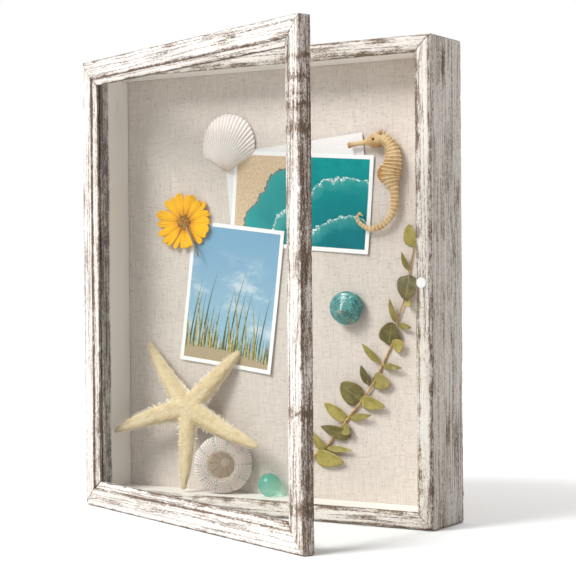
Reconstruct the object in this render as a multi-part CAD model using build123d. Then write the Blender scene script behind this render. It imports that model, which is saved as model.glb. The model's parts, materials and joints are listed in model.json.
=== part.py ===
"""Front-opening shadow box frame with a linen board and a seaside collection.

Millimetres. +X is right seen from the front, +Y runs to the back and +Z is up. The origin is the centre
of the case's bottom face. The glazed door stands open by the rest angle.
"""
from build123d import *
import math
import os

# Case boards
case_width = 326.0
case_height = 384.0
case_depth = 56.0
wall = 14.0
display_depth = 31.0
rear_wall = 9.0
case_arris = 2.0
case_lip = 3.3
case_lip_step = 1.0

# Linen-covered board, back panel and what holds them
linen_thickness = 0.7
linen_hem = 15.0
board_thickness = 12.7
board_clearance = 0.4
panel_thickness = 3.0
panel_clearance = 0.5
point_thickness = 0.5
point_half_width = 4.0
point_reach = 6.0
point_bite = 4.5
points_on_side = 2

# V nails at the mitres
nail_thickness = 0.6
case_nail_apex = 7.0
case_nail_leg = 5.0
case_nail_drive = 8.0
door_nail_apex = 11.0
door_nail_leg = 6.0
door_nail_drive = 6.0

# Sawtooth hanger and wall bumpers
hanger_length = 44.0
hanger_height = 7.6
hanger_thickness = 1.0
hanger_rise = 1.6
hanger_foot = 9.0
hanger_ramp = 2.0
hanger_teeth = 9
hanger_tooth_depth = 1.6
hanger_nail_radius = 0.7
hanger_nail_length = 12.0
hanger_nail_head_radius = 1.7
hanger_nail_head = 0.6
bumper_radius = 4.0
bumper_thickness = 1.5
bumper_height = 22.0

# Door moulding and glass
door_gap = 1.0
door_thickness = 10.8
door_face = 15.6
door_lip = 6.0
door_lip_step = 1.2
door_lip_bevel = 1.8
door_lip_edge = 2.0
door_arris = 0.8
glass_thickness = 2.0
glass_clearance = 0.5
stop_width = 5.4
stop_bevel = 1.5
brad_radius = 0.5
brad_length = 9.0
brads_on_side = 2
brad_from_corner = 70.0

# Hinges
door_rest_angle = 23.5
hinge_height = 30.0
hinge_from_end = 55.0
hinge_knuckles = 5
knuckle_radius = 2.2
knuckle_gap = 0.2
knuckle_clearance = 0.3
knuckle_to_wood = 0.4
leaf_width = 13.0
leaf_thickness = 0.9
leaf_mortise = 0.5
pin_radius = 1.0
pin_clearance = 0.05
pin_head_radius = 1.7
pin_head = 1.2
screw_radius = 1.3
screw_head_radius = 2.4
screw_length = 8.5
screw_spread = 18.0
screw_from_edge = 4.2
fastener_clearance = 0.05

# Magnetic catch at mid height of the right-hand boards
catch_from_edge = 8.2
catch_barrel_radius = 3.4
catch_barrel_length = 12.0
catch_flange_radius = 4.1
catch_flange = 0.6
catch_skin = 0.5
magnet_radius = 2.4
magnet_length = 5.0
strike_radius = 5.0
strike_thickness = 0.8
strike_screw_length = 7.0

# Each keepsake's place is a share of the case's inside width, from the left, and of its inside height

# Cards: width, height, turn and the centre's place
card_thickness = 0.35
blank_card_size = (134.0, 76.0)
blank_card_turn = 5.0
blank_card_place = (0.5799, 0.7185)
sea_print_size = (134.0, 80.0)
sea_print_turn = -4.3
sea_print_place = (0.5943, 0.6899)
sky_print_size = (93.0, 121.0)
sky_print_turn = -7.0
sky_print_place = (0.3648, 0.4680)

# Scallop shell
scallop_place = (0.3574, 0.8315)
scallop_radius = 26.5
scallop_height = 11.0
scallop_apex_drop = 25.0
scallop_fan = 120.0
scallop_grooves = 11
scallop_groove_radius = 0.8
scallop_smooth = 12.0
scallop_groove_share = 0.85

# Flower head and its dry stem
flower_place = (0.2047, 0.6489)
flower_petals = 17
flower_radii = (29.0, 25.0)
petal_root = 5.0
petal_width = 8.6
petal_shape = ((0.0, 0.14), (0.45, 0.42), (0.72, 0.5), (0.92, 0.34), (1.0, 0.0))
petal_thickness = 0.5
petal_lift = 9.0
petal_twist = 8.0
flower_eye_radii = (7.0, 4.2)
flower_eye_height = 3.0
# The stem's ends are across, up and out from the flower's centre on the linen
flower_stem_start = (0.0, 0.0, 3.8)
flower_stem_end = (15.0, -29.8, 6.7)
flower_stem_radius = 0.7

# Turban shell
turban_place = (0.7523, 0.4416)
turban_radius = 14.0
turban_height = 20.0
turban_whorls = 4
turban_bulge = 1.3
turban_tip_radius = 1.2
turban_tilt = (10.0, 7.0)

# Sea urchin test, standing on its rim
urchin_across_share = 0.3564
urchin_radius = 24.0
urchin_height = 23.0
urchin_shell = 1.6
urchin_mouth = 10.5
urchin_vent = 4.2
urchin_turn = 10.0
urchin_clearance = 0.3

# Sea glass on the case floor
ball_across_share = 0.5081
ball_proud = 11.0
ball_radius = 9.8
floor_flat = 0.3

# Starfish: its centre above the floor and proud of the linen, and each arm's tip across, up and out from it
star_across_share = 0.2362
star_centre_up = 72.8
star_centre_proud = 15.0
star_tips = {
    "foot": (3.2, -71.6, 10.0),
    "left": (-67.7, -23.0, 13.6),
    "lower_right": (78.0, -30.2, 11.0),
    "upper_left": (-48.3, 53.6, -14.0),
    "upper_right": (47.2, 47.9, -13.0),
}
star_arm_half_width = 9.0
star_arm_flatness = 0.7
star_heart_radius = 9.6
# Each arm's sections: share of its length, and share of the half width
star_arm_shape = ((0.12, 0.9), (0.3, 0.95), (0.55, 0.74), (0.78, 0.5), (0.94, 0.28), (1.0, 0.12))

# Seahorse: the head's place, then points across and up from it, for the spine with its half width there
seahorse_place = (0.8389, 0.8202)
seahorse_proud = 5.3
seahorse_flatness = 0.62
seahorse_spine = [
    (1.5, 1.0, 5.0),
    (8.5, 0.3, 5.0),
    (13.3, -3.7, 5.4),
    (15.9, -10.0, 7.0),
    (15.9, -18.7, 8.4),
    (14.4, -28.0, 8.8),
    (15.4, -34.8, 6.6),
    (17.1, -40.0, 4.1),
    (17.4, -48.5, 3.7),
    (16.0, -57.2, 3.3),
    (10.5, -64.8, 2.9),
    (2.8, -69.7, 2.6),
    (-5.5, -70.7, 2.3),
    (-13.0, -67.2, 1.9),
    (-17.0, -62.4, 1.5),
    (-14.8, -58.4, 1.1),
    (-11.8, -60.3, 0.6),
]
seahorse_rings = 18
seahorse_ring_depth = 0.10
seahorse_head_radius = 5.6
seahorse_snout_end = (-23.8, -3.0)
seahorse_snout_radii = (2.6, 1.9)
seahorse_crown = (7.0, 11.0)
seahorse_crown_radii = (3.6, 0.9)

# Eucalyptus sprig: the stem's places, then each pair of leaves by its share of the stem's height, with
# each leaf's direction in degrees from +X, its length and its width
stem_proud = 0.8
stem_radius = 0.9
stem_bend = 40.0
stem_places = [
    (0.6134, 0.0758),
    (0.6805, 0.1208),
    (0.7544, 0.1924),
    (0.8215, 0.2584),
    (0.8852, 0.3596),
    (0.9305, 0.4691),
    (0.9534, 0.5674),
    (0.9658, 0.6629),
]
leaf_blade = 0.5
leaf_lift = 12.0
leaf_widest = 0.45
leaf_pairs = [
    (0.036, (-5.0, 30.0, 12.5), (110.0, 18.0, 7.0)),
    (0.072, (-2.0, 27.0, 5.0), (121.0, 21.0, 7.0)),
    (0.134, (-32.0, 12.0, 9.0), (163.0, 22.0, 9.0)),
    (0.189, (10.0, 24.0, 6.0), (140.0, 23.0, 10.5)),
    (0.266, (-8.0, 26.5, 10.0), (144.0, 21.0, 17.0)),
    (0.33, (-12.0, 18.0, 12.5), (108.0, 17.5, 6.0)),
    (0.407, (-4.0, 21.5, 4.5), (129.0, 21.0, 6.0)),
    (0.474, (28.0, 12.0, 11.0), (108.0, 22.0, 16.0)),
    (0.56, (-7.0, 15.0, 5.0), (100.0, 21.0, 4.5)),
    (0.751, (264.0, 21.0, 17.0), (104.0, 16.0, 3.0)),
    (0.856, (40.0, 14.0, 10.0), (92.0, 18.0, 12.0)),
]

os.makedirs("parts", exist_ok=True)

case_front = -case_depth / 2
case_rear = case_depth / 2
linen_face = case_front + display_depth
board_front = linen_face + linen_thickness
board_rear = board_front + board_thickness
panel_front = board_rear + linen_thickness
panel_rear = panel_front + panel_thickness
door_back = case_front - door_gap
door_front = door_back - door_thickness
glass_front = door_front + door_lip_step + door_lip_bevel + door_lip_edge
glass_back = glass_front + glass_thickness
door_sight = door_face + door_lip
hinge_x = -case_width / 2 - knuckle_radius - knuckle_to_wood
hinge_y = case_front - door_gap / 2
catch_x = case_width / 2 - catch_from_edge
catch_z = case_height / 2

nodes = {}


def face_of(points):
    """A flat face inside a closed outline."""
    return make_face(Polyline(*points, close=True))


def mitred_bar(section, length, run):
    """A bar along X with its outer face on z = 0 and both ends cut at 45 degrees.

    section is (y, z) points, and run is more than the bar's height.
    """
    bar = extrude(Plane.YZ * face_of(section), amount=length / 2, both=True)
    half = length / 2
    plan = face_of([(-half, 0), (half, 0), (half - run, run), (-half + run, run)])
    return bar & extrude(Plane.XZ * plan, amount=case_depth * 2, both=True)


def frame_bars(section, width, height, run, inset=0.0):
    """Four mitred bars round a rectangle that stands inset from the case's outline."""
    across = width - 2 * inset
    tall = height - 2 * inset
    flat = mitred_bar(section, across, run)
    upright = mitred_bar(section, tall, run)
    middle = height / 2
    return {
        "bottom": Pos(0, 0, inset) * flat,
        "top": Pos(0, 0, height - inset) * Rot(0, 180, 0) * flat,
        "left": Pos(-width / 2 + inset, 0, middle) * Rot(0, 90, 0) * upright,
        "right": Pos(width / 2 - inset, 0, middle) * Rot(0, -90, 0) * upright,
    }


def corner_nails(apex, leg, drive, rear):
    """V nails flush with the rear face at y = rear, one across each mitre."""
    nails = []
    inner = apex - nail_thickness
    end = apex - leg
    outline = [(apex, apex), (end, apex), (end, inner), (inner, inner), (inner, end), (apex, end)]
    for side in (-1, 1):
        for top in (False, True):
            points = []
            for across, up in outline:
                x = side * (case_width / 2 - across)
                z = case_height - up if top else up
                points.append((x, z))
            nail = extrude(Plane.XZ.offset(-rear) * face_of(points), amount=drive)
            nails.append(nail)
    return nails


def cut_all(solid, tools):
    """The solid with each tool taken out of it."""
    for tool in tools:
        solid = solid - tool
    return solid


def group(solids):
    """Separate solids that share one node."""
    return Compound(children=list(solids))


def slab(width, height, front, rear, centre=(0.0, 0.0)):
    """A rectangular slab between two y planes, its lower edge on z = centre[1] - height / 2."""
    depth = rear - front
    return Pos(centre[0], (front + rear) / 2, centre[1]) * Box(width, depth, height)


def along_y(solid, x, y, z, towards_rear=True):
    """Turns a solid made along +Z to run along +Y or -Y from a point."""
    turn = Rot(-90, 0, 0) if towards_rear else Rot(90, 0, 0)
    return Pos(x, y, z) * turn * solid


def bar_of_round(radius, length):
    """A cylinder that starts at the origin and runs up +Z."""
    return Pos(0, 0, length / 2) * Cylinder(radius, length)


def countersunk(length, extra=0.0):
    """A countersunk screw down +Z with its head's top on z = 0, grown by extra for a hole."""
    head = screw_head_radius + extra
    shank = screw_radius + extra
    neck = screw_head_radius - screw_radius
    outline = [(0, 0), (head, 0), (shank, neck), (shank, length + extra), (0, length + extra)]
    return revolve(Plane.XZ * face_of(outline), axis=Axis.Z)


def on_board(across, up, proud=0.0):
    """A point from the shown linen's lower left corner, proud of the linen."""
    return Vector(-case_width / 2 + wall + across, linen_face - proud, wall + up)


# Case boards
case_section = [
    (case_front + case_arris, 0),
    (case_front, case_arris),
    (case_front, wall - case_lip),
    (case_front + case_lip_step, wall - case_lip),
    (case_front + case_lip_step, wall),
    (linen_face, wall),
    (linen_face, rear_wall),
    (case_rear, rear_wall),
    (case_rear, 0),
]
case_bars = frame_bars(case_section, case_width, case_height, wall * 1.5)
case_nails = corner_nails(case_nail_apex, case_nail_leg, case_nail_drive, case_rear)

# Linen-covered pin board
linen_width = case_width - 2 * rear_wall - 2 * board_clearance
linen_height = case_height - 2 * rear_wall - 2 * board_clearance
mid_height = case_height / 2
board_width = linen_width - 2 * linen_thickness
board_height = linen_height - 2 * linen_thickness
pin_board = slab(board_width, board_height, board_front, board_rear, (0, mid_height))
linen = slab(linen_width, linen_height, linen_face, panel_front, (0, mid_height))
hem_window_size = (board_width - 2 * linen_hem, board_height - 2 * linen_hem)
hem_window = slab(*hem_window_size, board_front, panel_front, (0, mid_height))
linen = linen - pin_board - hem_window
nodes["pin_board"] = pin_board
nodes["linen_cover"] = linen

# Back panel and the points that hold it
panel_width = case_width - 2 * rear_wall - 2 * panel_clearance
panel_height = case_height - 2 * rear_wall - 2 * panel_clearance
nodes["back_panel"] = slab(panel_width, panel_height, panel_front, panel_rear, (0, mid_height))
kite = [(-point_bite, 0), (0, point_half_width), (point_reach, 0), (0, -point_half_width)]
point = extrude(Plane.XZ * face_of(kite), amount=-point_thickness)
points = []
for index in range(points_on_side):
    share = (index + 0.5) / points_on_side - 0.5
    x = share * panel_width
    z = mid_height + share * panel_height
    inner_x = case_width / 2 - rear_wall
    points.append(Pos(-inner_x, panel_rear, z) * point)
    points.append(Pos(inner_x, panel_rear, z) * Rot(0, 180, 0) * point)
    points.append(Pos(x, panel_rear, rear_wall) * Rot(0, -90, 0) * point)
    points.append(Pos(x, panel_rear, case_height - rear_wall) * Rot(0, 90, 0) * point)
nodes["back_points"] = group(points)

# Sawtooth hanger on the rear edge of the top board
hanger_z = case_height - rear_wall / 2
half_hanger = hanger_length / 2
ramp_out = half_hanger - hanger_foot
ramp_in = ramp_out - hanger_ramp
rise = hanger_rise
hanger_plan = [
    (-half_hanger, 0), (-ramp_out, 0), (-ramp_in, rise), (ramp_in, rise), (ramp_out, 0), (half_hanger, 0),
    (half_hanger, hanger_thickness), (ramp_out, hanger_thickness), (ramp_in, rise + hanger_thickness),
    (-ramp_in, rise + hanger_thickness), (-ramp_out, hanger_thickness), (-half_hanger, hanger_thickness),
]
hanger = extrude(face_of(hanger_plan), amount=hanger_height / 2, both=True)
tooth_pitch = 2 * ramp_in / hanger_teeth
tooth = face_of([(-tooth_pitch / 2, 0), (0, hanger_tooth_depth), (tooth_pitch / 2, 0)])
for index in range(hanger_teeth):
    x = -ramp_in + tooth_pitch * (index + 0.5)
    notch = extrude(Plane.XZ * tooth, amount=hanger_length, both=True)
    hanger = hanger - Pos(x, 0, -hanger_height / 2) * notch
hanger_nails = []
hanger_holes = []
for side in (-1, 1):
    x = side * (half_hanger - hanger_foot / 2)
    shank = bar_of_round(hanger_nail_radius, hanger_nail_length + hanger_thickness)
    head = Pos(0, 0, -hanger_nail_head) * bar_of_round(hanger_nail_head_radius, hanger_nail_head)
    top = case_rear + hanger_thickness
    hanger_nails.append(along_y(shank + head, x, top, hanger_z, False))
    hole = bar_of_round(hanger_nail_radius + fastener_clearance, hanger_nail_length + 2 * hanger_thickness)
    hanger_holes.append(along_y(hole, x, top + fastener_clearance, hanger_z, False))
nodes["hanger_plate"] = cut_all(Pos(0, case_rear, hanger_z) * hanger, hanger_holes)
nodes["hanger_nails"] = group(hanger_nails)

bumpers = []
for side in (-1, 1):
    pad = bar_of_round(bumper_radius, bumper_thickness)
    bumpers.append(along_y(pad, side * (case_width - rear_wall) / 2, case_rear, bumper_height))
nodes["wall_bumpers"] = group(bumpers)


# Hinges
def hinge_parts(centre_z):
    """One butt hinge with the door shut: case leaf, door leaf, pin, and its screws and screw holes."""
    pitch = hinge_height / hinge_knuckles
    barrel = Cylinder(knuckle_radius, pitch - knuckle_gap)
    clear = Cylinder(knuckle_radius + knuckle_clearance, pitch + knuckle_gap)
    bore = Cylinder(pin_radius + pin_clearance, hinge_height + 2 * pin_head)
    parts = {}
    for name, towards in (("case", 1), ("door", -1)):
        face = door_gap / 2 * towards
        near = face - towards * (leaf_thickness - leaf_mortise)
        far = face + towards * leaf_mortise
        plate = Pos(leaf_width / 2, (near + far) / 2, 0) * Box(leaf_width, leaf_thickness, hinge_height)
        for index in range(hinge_knuckles):
            z = (index + 0.5) * pitch - hinge_height / 2
            mine = (index % 2 == 0) == (name == "case")
            plate = plate + Pos(0, 0, z) * barrel if mine else plate - Pos(0, 0, z) * clear
        plate = plate - bore
        screws = []
        holes = []
        for z in (-screw_spread / 2, screw_spread / 2):
            x = leaf_width - screw_from_edge
            screws.append(along_y(countersunk(screw_length), x, near, z, towards > 0))
            holes.append(along_y(countersunk(screw_length, fastener_clearance), x, near, z, towards > 0))
        parts[name + "_leaf"] = cut_all(plate, holes)
        parts[name + "_screws"] = screws
        parts[name + "_holes"] = holes
    pin = Cylinder(pin_radius, hinge_height)
    for end in (-1, 1):
        pin = pin + Pos(0, 0, end * (hinge_height + pin_head) / 2) * Cylinder(pin_head_radius, pin_head)
    parts["pin"] = pin
    place = Pos(hinge_x, hinge_y, centre_z)
    placed = {}
    for name, part in parts.items():
        placed[name] = [place * solid for solid in part] if isinstance(part, list) else place * part
    return placed


hinges = {
    "lower": hinge_parts(hinge_from_end),
    "upper": hinge_parts(case_height - hinge_from_end),
}

# Magnetic catch: a white barrel in the case and a steel strike on the door
barrel = bar_of_round(catch_barrel_radius, catch_barrel_length)
barrel = barrel + Pos(0, 0, -catch_flange) * bar_of_round(catch_flange_radius, catch_flange)
magnet_start = catch_skin - catch_flange
magnet_seat = Pos(0, 0, magnet_start) * bar_of_round(magnet_radius, catch_barrel_length + catch_flange)
barrel = barrel - magnet_seat
magnet = Pos(0, 0, magnet_start) * bar_of_round(magnet_radius - fastener_clearance, magnet_length)
catch_hole = bar_of_round(catch_barrel_radius + fastener_clearance, catch_barrel_length + fastener_clearance)
strike = bar_of_round(strike_radius, strike_thickness)
strike_hole = countersunk(strike_screw_length, fastener_clearance)
nodes["catch_barrel"] = along_y(barrel, catch_x, case_front, catch_z)
nodes["catch_magnet"] = along_y(magnet, catch_x, case_front, catch_z)


def near_tools(solid, tools):
    """The tools whose boxes reach the solid's box."""
    box = solid.bounding_box()
    close = []
    for tool in tools:
        other = tool.bounding_box()
        apart_x = other.min.X > box.max.X or other.max.X < box.min.X
        apart_y = other.min.Y > box.max.Y or other.max.Y < box.min.Y
        apart_z = other.min.Z > box.max.Z or other.max.Z < box.min.Z
        if not (apart_x or apart_y or apart_z):
            close.append(tool)
    return close


# The boards, with everything that is let into them cut out
case_tools = case_nails + points + hanger_holes + [along_y(catch_hole, catch_x, case_front, catch_z)]
for hinge in hinges.values():
    case_tools = case_tools + hinge["case_holes"] + [hinge["case_leaf"]]
for name, bar in case_bars.items():
    nodes["case_" + name] = cut_all(bar, near_tools(bar, case_tools))
nodes["case_corner_nails"] = group(case_nails)
for name, hinge in hinges.items():
    nodes["hinge_" + name + "_case_leaf"] = hinge["case_leaf"]
    nodes["hinge_" + name + "_pin"] = hinge["pin"]
nodes["hinge_case_screws"] = group(hinges["lower"]["case_screws"] + hinges["upper"]["case_screws"])

# Door, modelled shut
lip_foot = door_front + door_lip_step
lip_end = lip_foot + door_lip_bevel
door_section = [
    (door_front + door_arris, 0),
    (door_front, door_arris),
    (door_front, door_face),
    (lip_foot, door_face),
    (lip_end, door_sight),
    (glass_front, door_sight),
    (glass_front, door_face),
    (door_back, door_face),
    (door_back, 0),
]
door_bars = frame_bars(door_section, case_width, case_height, door_sight * 1.5)
stop_section = [
    (glass_back, 0),
    (glass_back, stop_width),
    (door_back - stop_bevel, stop_width),
    (door_back, stop_width - stop_bevel),
    (door_back, 0),
]
stops = frame_bars(stop_section, case_width, case_height, stop_width * 1.5, door_face)
glass_width = case_width - 2 * door_face - 2 * glass_clearance
glass_height = case_height - 2 * door_face - 2 * glass_clearance
door = {"door_glass": slab(glass_width, glass_height, glass_front, glass_back, (0, mid_height))}

brads = []
brad_holes = []
brad_y = (glass_back + door_back - stop_bevel) / 2
inner_edge = door_face + stop_width
for index in range(brads_on_side):
    share = index / (brads_on_side - 1) - 0.5
    x = share * (case_width - 2 * brad_from_corner)
    z = mid_height + share * (case_height - 2 * brad_from_corner)
    places = [
        Pos(x, brad_y, inner_edge) * Rot(180, 0, 0),
        Pos(x, brad_y, case_height - inner_edge),
        Pos(-case_width / 2 + inner_edge, brad_y, z) * Rot(0, -90, 0),
        Pos(case_width / 2 - inner_edge, brad_y, z) * Rot(0, 90, 0),
    ]
    for place in places:
        brads.append(place * bar_of_round(brad_radius, brad_length))
        brad_holes.append(place * bar_of_round(brad_radius + fastener_clearance, brad_length))

door_nails = corner_nails(door_nail_apex, door_nail_leg, door_nail_drive, door_back)
strike_place = (catch_x, door_back, catch_z, False)
strike_screw = countersunk(strike_screw_length)
door["catch_strike"] = along_y(strike - strike_hole, *strike_place)
door["catch_strike_screw"] = along_y(strike_screw, *strike_place)
door_tools = door_nails + brad_holes + [along_y(strike + strike_hole, *strike_place)]
for hinge in hinges.values():
    door_tools = door_tools + hinge["door_holes"] + [hinge["door_leaf"]]
bar_names = {"bottom": "bottom_rail", "top": "top_rail", "left": "left_stile", "right": "right_stile"}
for name, bar in door_bars.items():
    door["door_" + bar_names[name]] = cut_all(bar, near_tools(bar, door_tools))
for name, stop in stops.items():
    door["glass_stop_" + name] = cut_all(stop, near_tools(stop, brad_holes))
door["glass_stop_brads"] = brads
door["door_corner_nails"] = door_nails
for name, hinge in hinges.items():
    door["hinge_" + name + "_door_leaf"] = hinge["door_leaf"]
door["hinge_door_screws"] = hinges["lower"]["door_screws"] + hinges["upper"]["door_screws"]
swing = Pos(hinge_x, hinge_y, 0) * Rot(0, 0, -door_rest_angle) * Pos(-hinge_x, -hinge_y, 0)
for name, solid in door.items():
    nodes[name] = group([swing * piece for piece in solid]) if isinstance(solid, list) else swing * solid


# Keepsakes
def laid_out(across_share, up_share, proud=0.0):
    """A point at shares of the case's inside width and height, proud of the linen."""
    across = across_share * (case_width - 2 * wall)
    up = up_share * (case_height - 2 * wall)
    return on_board(across, up, proud)


def card(size, turn, place, layer):
    """A card flat on the board, in the given layer of the stack."""
    near = (layer + 1) * card_thickness
    centre = laid_out(place[0], place[1], near - card_thickness / 2)
    return Pos(*centre) * Rot(0, -turn, 0) * Box(size[0], card_thickness, size[1])


def facing(place):
    """The turn and move for a piece whose local +Z points out of the case and whose +Y points up."""
    return Pos(*place) * Rot(90, 0, 0)


def oblate(radius, half_height):
    """An ellipsoid of revolution about Z."""
    arc = EllipticalCenterArc((0, 0), radius, half_height, start_angle=-90, arc_size=180)
    outline = make_face([arc, Line(arc @ 1, arc @ 0)])
    return revolve(Plane.XZ * outline, axis=Axis.Z)


def rod(start, end, radius):
    """A round rod between two points."""
    length = (end - start).length
    return Plane(origin=start, z_dir=end - start) * bar_of_round(radius, length)


def body_along(points, half_widths, flatness):
    """A ruled loft through ellipses that stand square to a path near the board."""
    sections = []
    last = len(points) - 1
    for index, point in enumerate(points):
        before = points[max(index - 1, 0)]
        after = points[min(index + 1, last)]
        tangent = (after - before).normalized()
        side = tangent.cross(Vector(0, -1, 0)).normalized()
        half = half_widths[index]
        section = Plane(origin=point, x_dir=side, z_dir=tangent) * Ellipse(half, half * flatness)
        sections.append(section)
    return loft(sections, ruled=True)


cards = {
    "blank_card": card(blank_card_size, blank_card_turn, blank_card_place, 0),
    "sea_print": card(sea_print_size, sea_print_turn, sea_print_place, 1),
    "sky_print": card(sky_print_size, sky_print_turn, sky_print_place, 2),
}
keepsakes = {}

# Scallop shell: a cap of a sphere inside a fan, with grooves along great circles from its beak
sphere_radius = (scallop_radius ** 2 + scallop_height ** 2) / (2 * scallop_height)
ball_drop = scallop_height - sphere_radius
half_fan = math.radians(scallop_fan / 2)
fan_reach = 3 * scallop_radius
fan_x = fan_reach * math.sin(half_fan)
fan_y = fan_reach * math.cos(half_fan) - scallop_apex_drop
fan = face_of([(0, -scallop_apex_drop), (fan_x, fan_y), (-fan_x, fan_y)])
outline = extrude(Circle(scallop_radius) & fan, amount=scallop_height * 2)
shell = outline & Pos(0, 0, ball_drop) * Sphere(sphere_radius)
beak_rise = math.sqrt(sphere_radius ** 2 - scallop_apex_drop ** 2)
beak = Vector(0, -scallop_apex_drop, beak_rise)
up_shell = beak.cross(Vector(1, 0, 0)).normalized() * -1
smooth = Pos(0, -scallop_apex_drop, 0) * Sphere(scallop_smooth)
for index in range(scallop_grooves):
    angle = 2 * half_fan * scallop_groove_share * ((index + 0.5) / scallop_grooves - 0.5)
    heading = up_shell * math.cos(angle) + Vector(1, 0, 0) * math.sin(angle)
    ring_plane = Plane(origin=(0, 0, ball_drop), z_dir=beak.cross(heading))
    shell = shell - (ring_plane * Torus(sphere_radius, scallop_groove_radius) - smooth)
keepsakes["scallop_shell"] = facing(laid_out(*scallop_place)) * shell

# Flower head: lifted petals that lap over each other and a raised eye, with its dry stem across it
flower = Pos(0, 0, flower_eye_height / 2) * Cone(*flower_eye_radii, flower_eye_height)
for index in range(flower_petals):
    turn = 360 * index / flower_petals
    reach = math.hypot(
        flower_radii[0] * math.cos(math.radians(turn)), flower_radii[1] * math.sin(math.radians(turn))
    )
    length = reach - petal_root
    edge = [(length * along, petal_width * half) for along, half in petal_shape]
    back = [(x, -y) for x, y in reversed(edge[:-1])]
    blade = extrude(face_of(edge + back), amount=petal_thickness)
    petal = Rot(0, -petal_lift, 0) * Rot(petal_twist, 0, 0) * Pos(petal_root, 0, 0) * blade
    flower = flower + Rot(0, 0, turn) * petal
flower_foot = laid_out(*flower_place)
stem_ends = [flower_foot + Vector(x, -out, z) for x, z, out in (flower_stem_start, flower_stem_end)]
flower_stem = rod(*stem_ends, flower_stem_radius)
keepsakes["flower_head"] = facing(flower_foot) * flower
nodes["flower_stem"] = flower_stem

# Turban shell: bulging whorls turned about a tilted axis
whorl_points = []
for index in range(turban_whorls + 1):
    share = index / turban_whorls
    radius = turban_radius * (1 - share) + turban_tip_radius * share
    whorl_points.append((radius, turban_height * share))
whorls = []
for low, high in zip(whorl_points, whorl_points[1:]):
    middle = ((low[0] + high[0]) / 2 + turban_bulge, (low[1] + high[1]) / 2 + turban_bulge / 2)
    whorls.append(ThreePointArc(low, middle, high))
axis_line = Polyline(whorl_points[-1], (0, turban_height), (0, 0), whorl_points[0])
turban = revolve(Plane.XZ * make_face(whorls + axis_line.edges()), axis=Axis.Z)
turban = Rot(turban_tilt[0], turban_tilt[1], 0) * turban
floor_cut = Pos(0, 0, -turban_height) * Box(6 * turban_radius, 6 * turban_radius, 2 * turban_height)
keepsakes["turban_shell"] = facing(laid_out(*turban_place)) * (turban - floor_cut)

# Sea urchin test: a thin oblate shell with its mouth to the front and a five-sided vent behind
half_urchin = urchin_height / 2
test = oblate(urchin_radius, half_urchin) - oblate(urchin_radius - urchin_shell, half_urchin - urchin_shell)
test = test - bar_of_round(urchin_mouth, urchin_height)
vent = Pos(0, 0, -urchin_height) * extrude(RegularPolygon(urchin_vent, 5), amount=urchin_height)
test = Rot(0, urchin_turn, 0) * (test - vent)
turn = math.radians(urchin_turn)
urchin_proud = math.hypot(urchin_radius * math.sin(turn), half_urchin * math.cos(turn)) + urchin_clearance
urchin_rest = laid_out(urchin_across_share, 0, urchin_proud) + Vector(0, 0, urchin_radius - floor_flat)
below_floor = slab(case_width, case_depth, case_front - case_depth, case_rear, (0, wall - case_depth / 2))
behind_linen = slab(case_width, case_height, linen_face, case_rear, (0, mid_height))
urchin = facing(urchin_rest) * test - below_floor
keepsakes["urchin_test"] = urchin

# Sea glass, resting on the floor
ball_rest = laid_out(ball_across_share, 0, ball_proud) + Vector(0, 0, ball_radius - floor_flat)
ball = Pos(*ball_rest) * Sphere(ball_radius)
keepsakes["sea_glass_ball"] = ball - below_floor

# Starfish: five tapered arms from one heart, its foot on the floor and its upper tips on the board
centre = laid_out(star_across_share, 0, star_centre_proud) + Vector(0, 0, star_centre_up)
star = Pos(*centre) * Sphere(star_heart_radius)
for tip in star_tips.values():
    end = centre + Vector(tip[0], -tip[2], tip[1])
    path = [centre + (end - centre) * share for share, swell in star_arm_shape]
    widths = [star_arm_half_width * swell for share, swell in star_arm_shape]
    star = star + body_along(path, widths, star_arm_flatness)
keepsakes["starfish"] = star

# Seahorse: ringed body and curled tail as one ruled loft, with head, snout and crown
head_centre = laid_out(*seahorse_place, seahorse_proud)


def by_head(across, up):
    """A point across and up from the seahorse's head."""
    return head_centre + Vector(across, 0, up)


spine = Spline(*[by_head(across, up) for across, up, half in seahorse_spine])
marks = [0.0]
for before, after in zip(seahorse_spine, seahorse_spine[1:]):
    marks.append(marks[-1] + math.dist(before[:2], after[:2]))
halves = [half for across, up, half in seahorse_spine]
ring_points = []
ring_widths = []
steps = 2 * seahorse_rings
for index in range(steps + 1):
    distance = marks[-1] * index / steps
    span = max(number for number, mark in enumerate(marks[:-1]) if mark <= distance)
    share = (distance - marks[span]) / (marks[span + 1] - marks[span])
    half = halves[span] * (1 - share) + halves[span + 1] * share
    ridge = 1 - seahorse_ring_depth if index % 2 else 1.0
    ring_points.append(spine.position_at(index / steps))
    ring_widths.append(half * ridge)
body = body_along(ring_points, ring_widths, seahorse_flatness)
snout_end = by_head(*seahorse_snout_end)
crown_tip = by_head(*seahorse_crown)
snout_plane = Plane(origin=head_centre, z_dir=snout_end - head_centre)
snout_length = (snout_end - head_centre).length
snout = snout_plane * Pos(0, 0, snout_length / 2) * Cone(*seahorse_snout_radii, snout_length)
crown_length = (crown_tip - head_centre).length
crown_plane = Plane(origin=head_centre, z_dir=crown_tip - head_centre)
crown = crown_plane * Pos(0, 0, crown_length / 2) * Cone(*seahorse_crown_radii, crown_length)
seahorse = body + Pos(*head_centre) * Sphere(seahorse_head_radius) + snout + crown
keepsakes["seahorse"] = seahorse - behind_linen

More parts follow.
